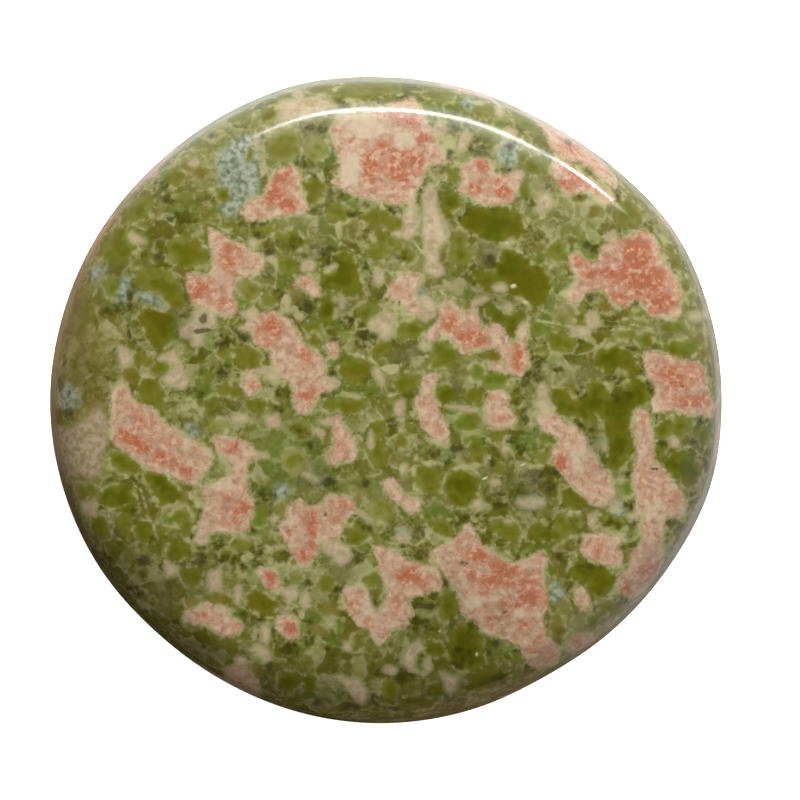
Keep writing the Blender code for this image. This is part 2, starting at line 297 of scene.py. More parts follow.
CREAM = (
    ((-6.5, 16.7), (-6.4, 17.3), (-5.0, 17.5), (-4.7, 18.0), (-4.0, 18.1), (-3.3, 18.0), (-3.0, 17.5),
     (-4.2, 17.1), (-5.5, 16.7)),
    ((2.2, 12.3), (2.9, 12.5), (3.1, 11.5), (3.7, 10.0), (3.6, 9.4), (3.1, 8.9), (3.1, 8.2), (3.4, 7.9),
     (3.4, 7.5), (3.0, 7.3), (2.3, 7.6), (2.4, 8.2), (2.3, 8.8), (2.1, 10), (2.2, 11.2)),
    ((0.9, 9.7), (1.4, 9.5), (2.0, 10.2), (2.1, 11.0), (1.4, 11.2), (1.2, 10.4)),
    ((-0.8, 4.5), (-0.3, 4.9), (0, 5.3), (0.6, 5.1), (0.5, 4.4), (0.2, 3.7), (-0.3, 4.0)),
    ((-16, 3.3), (-15.3, 3), (-15.1, 2.3), (-15.7, 1.9), (-15.9, 2.5)),
    ((-12.3, 4.3), (-11.6, 4.8), (-11.4, 5.4), (-10.9, 5.5), (-10.1, 5.3), (-10.1, 4.5), (-10.8, 3.9),
     (-10.8, 3.5), (-11.3, 3.2), (-11.6, 3.7), (-12.2, 3.8)),
    ((-13.5, 2.5), (-12.6, 3.0), (-12.2, 2.3), (-12.0, 1.4), (-12.1, 0.7), (-12.8, 0.9), (-13.4, 1.2),
     (-12.9, 1.6), (-12.6, 2.1)),
    ((-5.0, 8.3), (-4.2, 8.2), (-4.3, 7.6), (-4.9, 7.7)),
    ((-7.3, -0.9), (-6.4, -0.9), (-6.3, -1.6), (-7.0, -1.6)),
    ((-3.9, -8.4), (-3, -8.3), (-2.2, -8.7), (-2.0, -9.3), (-2.6, -9.8), (-3.2, -9.2), (-3.8, -8.9)),
    ((-13.1, -9.6), (-12.4, -9.9), (-12.5, -10.4), (-13.1, -10.5)),
    ((-10.6, -10.3), (-9.9, -10.1), (-9.8, -11.2), (-10.5, -11.4)),
    ((-6.2, -11.3), (-5.5, -11.1), (-5.1, -11.6), (-5.8, -12.2)),
    ((-7.4, -13.3), (-6.9, -13.6), (-7.0, -14.5), (-7.4, -14.4)),
    ((-8.2, -14.9), (-7.6, -14.5), (-7.0, -14.9), (-6.8, -15.5), (-7.2, -15.6), (-7.6, -15.1)),
    ((-2.9, -16.5), (-2.1, -16.6), (-1.6, -16.7), (-1.2, -17.2), (-1.1, -17.8), (-1.4, -18.1),
     (-1.8, -17.9), (-2.2, -17.3)),
    ((3.2, -16.2), (4.3, -16.5), (4.2, -17.1), (3.8, -17.6), (3.6, -17.2), (3.5, -16.7)),
    ((1.4, -14.6), (2.0, -14.2), (2.3, -14.8), (1.8, -15.2), (1.7, -15.9), (2.3, -16.4), (1.6, -16.1),
     (0.9, -15.7), (0.9, -15.1)),
    ((8.9, -0.1), (9.5, 0.2), (10.0, -0.5), (9.6, -0.7), (9.1, -0.9)),
    ((11.0, 4.3), (11.7, 4.4), (12.2, 4.1), (11.9, 3.7), (11.1, 3.8)),
    ((12.0, 5.0), (12.5, 5.3), (12.8, 4.5), (12.3, 4.3)),
    ((-3.6, -13.1), (-3.1, -13.0), (-3.0, -13.5), (-3.5, -13.6)),
    ((-2.5, -14.4), (-2.1, -14.4), (-2.1, -14.9), (-2.5, -14.8)),
    ((4.2, 15.0), (4.5, 15.9), (4.9, 15.9), (4.9, 15.2), (4.5, 14.8)),
    ((-14.5, 13.2), (-14.3, 13.9), (-13.7, 13.9), (-13.6, 13.3)),
    ((-11.8, 14.1), (-11.4, 14.5), (-11.1, 14.2), (-11.4, 13.9)),
    ((-18.2, -6.1), (-17.3, -6.1), (-17.3, -6.9), (-18.1, -6.8)),
    ((9.0, 12.3), (9.7, 12.4), (9.9, 11.6), (9.3, 11.2)),
    ((14.5, -6.8), (15.2, -6.7), (15.1, -7.1), (14.6, -7.2)),
)
TAN = (
    ((-19.7, -1.6), (-18.8, -1.7), (-17.8, -1.0), (-17.0, -0.4), (-16.6, -1.3), (-16.6, -2.6),
     (-17, -3.3), (-17, -4.3), (-17.6, -4.7), (-18.3, -4.3), (-19, -4.6), (-19.4, -3.5), (-19.8, -2.5)),
)
DARK_EPIDOTE = (
    ((-14.5, 5.4), (-13, 5.2), (-12.7, 4.5), (-12.5, 3.6), (-13.5, 2.9), (-14.1, 3.5), (-14.4, 4.2),
     (-14.8, 5)),
    ((-4, 6.1), (-3.4, 6.4), (-3.05, 6.0), (-3.1, 5.0), (-3.2, 4.5), (-3.7, 4.4), (-3.9, 4.9)),
    ((-3, 8.7), (-2, 8.6), (-1.8, 8), (-1.5, 7.3), (-1.5, 6.6), (-2, 6.3), (-2.8, 6.5), (-3.3, 6.6),
     (-3.9, 6.8), (-4, 7.5), (-3.2, 7.7)),
    ((5.0, 7.5), (5.6, 7.8), (6.5, 7.6), (6.7, 8.4), (7.0, 9.1), (7.7, 9.0), (8.0, 8.5), (8.9, 8.0),
     (9.5, 7.6), (9.8, 7.3), (9.7, 6.6), (9.5, 5.8), (8.9, 5.5), (8.5, 5.7), (8.2, 6.1), (7.8, 6.3),
     (7.2, 6.5), (7.0, 6.9), (6.3, 6.7), (5.6, 6.8)),
    ((5, 10), (4.2, 10.7), (5.2, 11.6), (6, 11.5), (7, 11.5), (7.9, 11.3), (8.3, 10.2), (8.0, 9.4),
     (7, 9.4), (6, 9.5)),
    ((3.1, 11.0), (3.4, 12.3), (4.1, 12.3), (4.8, 12.0), (4.4, 11.5), (3.7, 10.9)),
    ((6, 5.9), (6.4, 5.7), (6.8, 5.2), (7.3, 5.1), (8, 5.3), (8.3, 5.0), (8.0, 4.6), (7.9, 4.2),
     (7.6, 3.6), (7.2, 3.9), (7.1, 4.4), (6.5, 4.8), (5.9, 5.0)),
    ((2.9, 0.9), (3.7, 1.0), (4, 0.4), (3.9, -0.2), (3.5, -0.4), (3.1, -0.1), (2.9, 0.2)),
    ((12.4, 3.0), (13.2, 3.2), (14.3, 3.0), (14.9, 2.4), (15.1, 1.9), (14.9, 1.3), (14.3, 1.5),
     (13.8, 1.9), (13.2, 1.7), (12.5, 2.1)),
    ((10, 0.6), (10.1, -0.5), (10.7, -1.1), (11.9, -1.1), (12.1, -0.8), (12.7, -0.9), (13.0, -1.4),
     (13.0, -2.1), (13.3, -3.1), (13.1, -3.8), (13.4, -4.2), (14.1, -4.0), (14.6, -3.3), (14.7, -2.5),
     (14.3, -1.9), (14.6, -1.3), (14.8, -0.6), (15.4, -0.3), (15.8, 0.1), (15.6, 0.8), (15.0, 1.2),
     (14.3, 0.8), (13.4, 0.5), (13.0, 0.9), (12.2, 0.7), (11.8, 0.2), (11.2, 0.1), (10.9, 0.5),
     (10.4, 0.8)),
    ((17.3, -3.1), (17.8, -2.9), (18.3, -3.2), (18.8, -3.8), (18.9, -4.4), (18.5, -5.0), (17.9, -5.1),
     (17.3, -4.8), (16.8, -4.4), (16.6, -3.9), (16.9, -3.5)),
    ((10.4, -5.4), (11.0, -5.2), (11.5, -5.6), (12.0, -6.0), (11.7, -6.5), (11.0, -6.5), (10.5, -6.3),
     (10.4, -5.8)),
    ((10.9, -10.1), (11.2, -9.4), (12.4, -9.8), (13.2, -10.1), (13.7, -10.6), (13.7, -11.2),
     (13.4, -11.6), (12.6, -11.6), (12.1, -11.4), (11.9, -10.9), (11.4, -10.7), (10.9, -10.6)),
    ((8.5, -7.5), (9.2, -7.0), (9.6, -7.6), (9.7, -8.3), (9.0, -8.5), (8.4, -8.1)),
    ((4.2, -6.8), (4.9, -6.7), (5.0, -7.1), (4.4, -7.4)),
    ((3.7, -4.3), (4.6, -4.1), (5.1, -4.5), (5.3, -5.1), (5.5, -5.7), (5.3, -6.1), (4.8, -6.4),
     (4.1, -6.1), (3.7, -5.7), (3.5, -5.0)),
    ((-14.5, -4.2), (-13.4, -4.2), (-12.9, -4.7), (-12.4, -5.1), (-12.3, -5.7), (-12.6, -6.1),
     (-13.4, -6.3), (-13.7, -5.8), (-14.0, -5.2), (-14.4, -4.8)),
    ((-16.8, -5.3), (-16.2, -5.0), (-15.2, -5.1), (-15.0, -5.7), (-14.9, -6.2), (-14.8, -6.6),
     (-15.6, -6.7), (-16.2, -6.6), (-17.0, -6.6), (-17.1, -6.2), (-16.8, -5.9)),
    ((-14.8, -7.2), (-14.2, -7.2), (-13.9, -7.7), (-13.8, -8.4), (-14.2, -8.4), (-14.9, -8.3),
     (-15, -7.7)),
    ((-13, -8.7), (-12.4, -8.3), (-11.7, -8.5), (-11.5, -9.1), (-12.1, -9.4), (-12.9, -9.5),
     (-13.1, -9.2)),
    ((-8.3, -11.6), (-7.6, -11.4), (-6.9, -11.8), (-6.4, -12.0), (-6.5, -12.6), (-7.0, -12.9),
     (-7.6, -12.7), (-8.0, -12.3), (-8.4, -12.1)),
    ((-6.4, -16.4), (-5.8, -16.1), (-5.2, -16.4), (-5.1, -16.9), (-5.6, -17.5), (-6.1, -17.4),
     (-6.5, -17)),
    ((-4.9, -16.6), (-4.2, -16.5), (-4.1, -17.3), (-4.4, -17.8), (-4.8, -17.2)),
    ((3.6, -13.9), (4.4, -13.4), (5.2, -13.3), (5.5, -13.8), (5.8, -14.6), (5.9, -15.6), (5.2, -16.2),
     (4.3, -16.1), (3.7, -15.4), (3.8, -14.6)),
    ((5.4, -16.2), (6.4, -15.9), (7.2, -16.1), (7.4, -16.6), (6.6, -17.2), (5.4, -17.4), (4.7, -17.2),
     (5.1, -16.7)),
    ((2.5, -14.5), (3.3, -14.4), (3.5, -15.1), (2.8, -15.4), (2.4, -15.1)),
    ((0.8, -17.9), (2.0, -17.6), (2.9, -17.9), (2.7, -18.4), (1.2, -18.6), (0.4, -18.5)),
    ((2.7, -16.9), (3.3, -17.0), (3.3, -17.6), (2.7, -17.6)),
)
OLIVE_EPIDOTE = (
    ((-17.2, 8.6), (-16.8, 9.7), (-16.0, 10.3), (-15.3, 10.0), (-15.1, 9.1), (-15.4, 8.3), (-16.2, 8.1)),
    ((-15, 7.8), (-12.8, 7.8), (-12.3, 6.9), (-12.1, 5.6), (-12.9, 5.6), (-13.6, 6.4), (-14.5, 6.6),
     (-15, 7.0)),
    ((-13, 9.4), (-11.9, 10.0), (-11, 9.4), (-10.6, 8.6), (-10.7, 7.9), (-12, 7.9), (-13, 8.3)),
    ((-15.1, 2.9), (-13.7, 2.7), (-13.9, 2.2), (-14.2, 1.9), (-15, 2.1)),
    ((-14.6, 1.3), (-13.6, 1.3), (-13.3, 0.6), (-13.2, -0.4), (-13.6, -0.7), (-14.4, -0.2),
     (-14.9, 0.2)),
    ((-9.1, 3.1), (-8.2, 3.0), (-7.4, 2.9), (-7.4, 2.4), (-7.8, 1.9), (-8.4, 1.9), (-9, 2.4)),
    ((-6.8, 8.2), (-6, 8.5), (-5.4, 8.3), (-5.3, 7.7), (-5.6, 7.4), (-6.2, 7.6)),
    ((-1.8, 5.4), (-1.5, 5.8), (-0.5, 5.8), (-0.2, 5.4), (-0.5, 4.9), (-1.2, 4.6), (-1.7, 5.0)),
    ((-2.2, 2.6), (-1.5, 2.6), (-0.9, 2.0), (-0.9, 1.3), (-1.6, 0.9), (-2.2, 1.0), (-2.8, 1.6),
     (-2.6, 2.2)),
    ((-0.8, 3.1), (-0.4, 3.5), (0.2, 3.3), (0.2, 2.8), (-0.5, 2.6)),
    ((2.7, 3.3), (3.7, 3.5), (4.0, 3.1), (4.1, 2.5), (3.8, 2.0), (2.9, 1.9), (2.6, 2.2)),
    ((0.8, 4.6), (1.8, 4.8), (2.2, 4.2), (1.8, 3.6), (1.0, 3.6), (0.6, 3.9)),
    ((3.8, 9.9), (4.4, 10.2), (4.9, 9.8), (4.9, 9.2), (5.3, 8.6), (5, 8.2), (4.2, 8.0), (3.6, 8.4),
     (3.8, 9.2)),
    ((0.6, 1.5), (1.9, 1.6), (2.0, 0.8), (1, 0.5), (0.5, 0.8)),
    ((16.6, 9.5), (17.0, 9.3), (17.5, 8.4), (17.8, 7.8), (17.4, 7.6), (17, 8.3), (16.6, 9.0)),
    ((10, 3.9), (11.2, 3.8), (11.3, 3.2), (10.8, 2.8), (10, 3.0)),
    ((16.3, 3.1), (17.6, 3.3), (18.4, 3.2), (18.2, 2.5), (17.2, 2.7), (16.3, 2.9)),
    ((4.9, -2.6), (5.5, -2.5), (5.9, -3.0), (5.8, -3.5), (5.2, -3.8), (5.0, -3.3)),
    ((1.7, -4.0), (2.3, -3.8), (3.1, -4.2), (3.4, -4.8), (3.0, -5.3), (2.3, -5.5), (1.8, -5.0)),
    ((8.7, -3.3), (9.2, -3.0), (9.6, -3.2), (9.5, -3.7), (8.9, -3.8)),
    ((6.3, -7.1), (7, -7.0), (7.8, -7.3), (8.0, -7.9), (7.8, -8.6), (7.4, -8.4), (6.6, -7.9),
     (6.1, -7.6)),
    ((2.6, -7.0), (3.6, -7.1), (4.0, -7.6), (4.0, -8.1), (3.2, -8.1), (2.6, -7.8)),
    ((-1.9, -7.1), (-1.1, -7.0), (-0.7, -7.5), (-1, -7.8), (-1.7, -7.9), (-2.2, -7.8)),
    ((-6.6, -8.8), (-6.0, -8.7), (-5.8, -9.4), (-6.3, -9.7), (-6.7, -9.3)),
    ((16.1, -1.7), (16.6, -1.4), (17.0, -1.7), (17.0, -2.2), (16.5, -2.4), (16.1, -2.3)),
    ((17.1, -1.0), (18.3, -1.0), (18.4, -1.4), (18.2, -1.9), (17.6, -2.2), (17.2, -1.9)),
    ((18.5, -1.8), (19.2, -1.5), (19.4, -2.0), (19.2, -2.8), (18.7, -2.6), (18.4, -2.2)),
    ((16.1, -2.5), (16.9, -2.5), (16.5, -3.3), (16.1, -3.3)),
    ((10.1, -7.0), (11.3, -6.8), (11.9, -6.9), (11.3, -7.7), (10.9, -8.3), (10.2, -8.6), (9.9, -8)),
    ((12.5, -6.9), (13.2, -6.8), (14.2, -7.1), (14.3, -7.5), (13.8, -7.8), (13.3, -7.7), (12.9, -7.5)),
    ((13.0, -12.1), (14.0, -12.0), (14.3, -12.2), (14.1, -12.8), (13.4, -12.8), (12.9, -12.5)),
    ((-16.4, -3.1), (-15.6, -3.0), (-15, -3.5), (-14.5, -4.0), (-15, -4.4), (-15.8, -4.4),
     (-16.4, -3.9)),
    ((-12.5, -6.6), (-11.9, -6.4), (-11.5, -6.9), (-11.5, -7.7), (-11.9, -8.1), (-12.3, -7.5)),
    ((-17.5, -7.0), (-16.8, -6.9), (-16.5, -7.5), (-16.5, -8.2), (-17, -8.3), (-17.4, -7.8)),
    ((-16, -7.0), (-15.4, -6.8), (-15.1, -7.4), (-15.3, -8.2), (-15.7, -7.9), (-15.9, -7.5)),
    ((-1.4, -10.4), (-0.7, -10.2), (-0.5, -10.7), (-0.8, -11.2), (-1.3, -11.2)),
    ((3.4, -10.6), (3.8, -11.0), (4.2, -11.8), (4.4, -12.4), (4.1, -12.9), (3.5, -13.4), (3.0, -12.6),
     (3.3, -11.6)),
    ((7.5, -15.2), (8.0, -15.1), (8.3, -15.5), (7.9, -15.8), (7.5, -15.7)),
    ((-0.2, -16.7), (0.5, -16.6), (0.8, -17.2), (0.7, -17.9), (0.1, -18.1), (-0.3, -17.5)),
    ((-12.3, -10.1), (-11.3, -10.0), (-10.9, -10.4), (-11.0, -11.0), (-11.7, -11.2), (-12.2, -10.8)),
    ((-2.9, 17.8), (1, 18.3), (0.8, 19.1), (-2, 19.2), (-2.9, 18.6)),
    ((2.2, 18.2), (3.2, 18.7), (4.2, 18.3), (4.0, 17.8), (3.0, 17.7)),
    ((-1.5, 10.9), (-0.8, 11.5), (0, 11.3), (0, 10.5), (-0.8, 10.2)),
    ((-3.6, 11.3), (-2.8, 11.8), (-2.0, 11.3), (-2.4, 10.6), (-3.3, 10.6)),
    ((13.5, 11.2), (14.2, 11.9), (15.1, 11.5), (15.3, 10.7), (14.6, 10.2), (13.8, 10.4)),
    ((7.3, 17.4), (7.9, 17.3), (9.0, 16.4), (9.0, 15.9), (8.3, 16.2), (7.5, 16.9)),
    ((5.5, 17.2), (6.0, 17.6), (6.6, 17.3), (6.5, 16.9), (5.8, 16.8)),
    ((5.4, 15.7), (5.8, 16.3), (6.5, 16.1), (6.6, 15.5), (6.0, 15.2)),
    ((-15.9, 10.6), (-15.4, 11.7), (-14.4, 12.5), (-13.9, 12.4), (-14.2, 11.5), (-15.2, 10.4)),
    ((-13.0, 13.3), (-12.6, 13.8), (-12.0, 13.5), (-12.1, 12.9), (-12.7, 12.7)),
    ((-4.8, 12.0), (-4.7, 13.2), (-4.2, 13.4), (-3.7, 12.8), (-3.8, 11.9), (-4.3, 11.6)),
    ((-8.1, 10.3), (-7.3, 10.6), (-6.5, 10.3), (-6.8, 9.7), (-7.6, 9.6)),
    ((-5.8, 9.4), (-5.3, 9.7), (-4.7, 9.5), (-4.9, 9.1), (-5.4, 9.0)),
)
PALE_EPIDOTE = (
    ((-7.2, 15.0), (-6.8, 16.0), (-5.9, 16.4), (-5.1, 15.9), (-5.0, 15.0), (-5.5, 14.2), (-6.4, 14.1)),
    ((-4.9, 15.3), (-4.2, 15.8), (-3.5, 15.4), (-3.5, 14.6), (-4.1, 14.2), (-4.9, 14.4)),
    ((-9, 7.1), (-8.3, 7.2), (-7.7, 6.9), (-7.5, 6.2), (-8, 5.9), (-8.6, 6.1), (-8.9, 6.6)),
    ((-1.3, -6.2), (-0.6, -5.8), (0.5, -6.1), (0.7, -6.6), (0, -7.3), (-0.7, -7.1), (-1.0, -6.8)),
    ((-6.6, -6.1), (-6.1, -6.0), (-5.8, -6.5), (-6.0, -7.0), (-6.6, -6.9)),
    ((4.1, -0.9), (5, -0.6), (5.9, -1), (6, -1.8), (5.5, -2.3), (4.6, -2.2), (4.1, -1.6)),
    ((13.7, -4.9), (14.3, -4.6), (14.6, -5.3), (14.3, -5.9), (13.8, -5.8)),
    ((15.0, 3.9), (15.7, 4.1), (15.9, 3.5), (15.4, 3.1), (14.9, 3.4)),
    ((5.0, 2.1), (5.7, 2.2), (5.9, 1.5), (5.4, 1.0), (5.0, 1.3)),
    ((-5.8, -10.3), (-5.2, -10.0), (-4.9, -10.5), (-5.3, -11.0)),
    ((-1.9, -15.4), (-1.4, -15.3), (-1.2, -16.2), (-1.6, -16.7), (-1.9, -16.1)),
    ((-10.4, -1.1), (-9.5, -1.0), (-9.2, -1.6), (-9.8, -2.0), (-10.5, -1.8)),
    ((-6.0, -1.5), (-5.2, -1.1), (-4.4, -1.5), (-4.3, -2.2), (-5.2, -2.4), (-5.9, -2.1)),
    ((-6.2, -3.0), (-5.2, -2.8), (-4.6, -3.4), (-4.6, -4.3), (-5.6, -4.4), (-6.2, -3.8)),
    ((2.2, -15.4), (2.6, -15.3), (2.7, -16.0), (2.3, -16.3)),
)
GOLDEN_EPIDOTE = (
    ((-15.6, 1.9), (-15.0, 2.0), (-14.7, 1.4), (-15.1, 0.9), (-15.6, 1.2)),
    ((-4.5, -13.5), (-3.9, -13.3), (-3.5, -13.8), (-4.0, -14.1)),
    ((-4, -12.3), (-3.2, -12.0), (-2.7, -12.5), (-2.9, -12.9), (-3.6, -12.9)),
    ((5.7, 2.9), (6.4, 3.1), (6.9, 2.6), (7.0, 2.2), (6.3, 2.3), (5.8, 2.5)),
    ((6.2, -2.3), (6.8, -1.7), (7.3, -1.8), (7.0, -2.4), (6.5, -2.6)),
    ((9.9, -12.8), (10.6, -13.1), (10.7, -13.7), (10.6, -14.3), (10.3, -14.7), (10.0, -14.4),
     (9.9, -13.6)),
    ((-12, -11.9), (-11.5, -11.7), (-11.1, -11.8), (-11.1, -12.3), (-11.8, -12.5)),
    ((12.8, 6.5), (13.2, 6.2), (13.5, 5.5), (13.1, 5.1), (12.7, 5.4)),
    ((-12.3, 14.2), (-11.9, 14.6), (-11.7, 14.1), (-10.7, 13.7), (-11.2, 13.2), (-12.0, 13.6)),
    ((-3.8, -2.1), (-3.3, -2.0), (-3.2, -2.6), (-3.6, -2.8)),
    ((18.5, 3.8), (19.0, 3.9), (19.1, 2.6), (18.6, 2.5)),
    ((-5.8, 6.7), (-5.1, 6.6), (-4.9, 6.1), (-5.3, 5.8), (-5.8, 6.1)),
    ((-8.2, -15.9), (-7.7, -15.7), (-7.5, -16.6), (-7.9, -16.4)),
    ((-10.6, -11.8), (-10, -11.5), (-9.5, -11.5), (-9.2, -12), (-9.5, -12.2), (-10.3, -12.1)),
    ((12.1, 11.5), (12.6, 11.7), (13.0, 11.3), (12.7, 10.9), (12.2, 11.0)),
)
GREY_QUARTZ = (
    ((-10, 14.8), (-9, 15.5), (-8, 15.9), (-7.4, 15.0), (-7.5, 14.0), (-7.6, 13), (-7.7, 12.2),
     (-8.3, 11.9), (-9, 11), (-9.5, 10.7), (-9.9, 11.5), (-10, 13.5)),
    ((6.6, 14.9), (7.2, 15.6), (8.0, 15.2), (8.1, 14.5), (7.4, 14.0), (6.7, 14.3)),
    ((4.5, 17.7), (5.0, 18.1), (5.4, 17.8), (5.0, 17.3)),
    ((-16.4, 6.2), (-15.9, 6.9), (-15.5, 7.5), (-15.2, 7.3), (-15.3, 6.6), (-15.5, 5.9), (-16.0, 5.8)),
    ((-17.8, 7.9), (-17.2, 8.2), (-16.7, 7.9), (-17.0, 7.2), (-17.5, 7.2)),
    ((-14.8, 6.5), (-14.2, 6.4), (-13.5, 6.1), (-13.0, 5.5), (-13.3, 5.3), (-14.0, 5.8), (-14.7, 6.1)),
    ((-19.7, 0.9), (-19.0, 1.0), (-18.4, 0.5), (-18.3, -0.3), (-18.9, -0.6), (-19.5, -0.3)),
    ((1.9, 6.7), (2.4, 6.5), (2.7, 5.9), (2.8, 5.2), (2.1, 4.9), (1.9, 5.5)),
    ((-6.6, -5.2), (-5.9, -4.9), (-5.6, -5.3), (-6.0, -5.8), (-6.5, -5.7)),
    ((-12.0, -1.5), (-11.3, -1.4), (-11.1, -2.1), (-11.7, -2.2)),
    ((13.3, -6.1), (14.0, -5.9), (14.3, -6.7), (13.8, -7.0), (13.4, -6.7)),
    ((9.8, -10.9), (10.3, -10.9), (10.6, -11.6), (10.2, -12.1), (9.8, -11.7)),
    ((7.9, -5.8), (8.8, -5.6), (9.4, -5.9), (9.2, -6.4), (8.2, -6.5)),
    ((0.7, -7.6), (1.3, -7.7), (1.4, -8.3), (0.8, -8.4)),
)

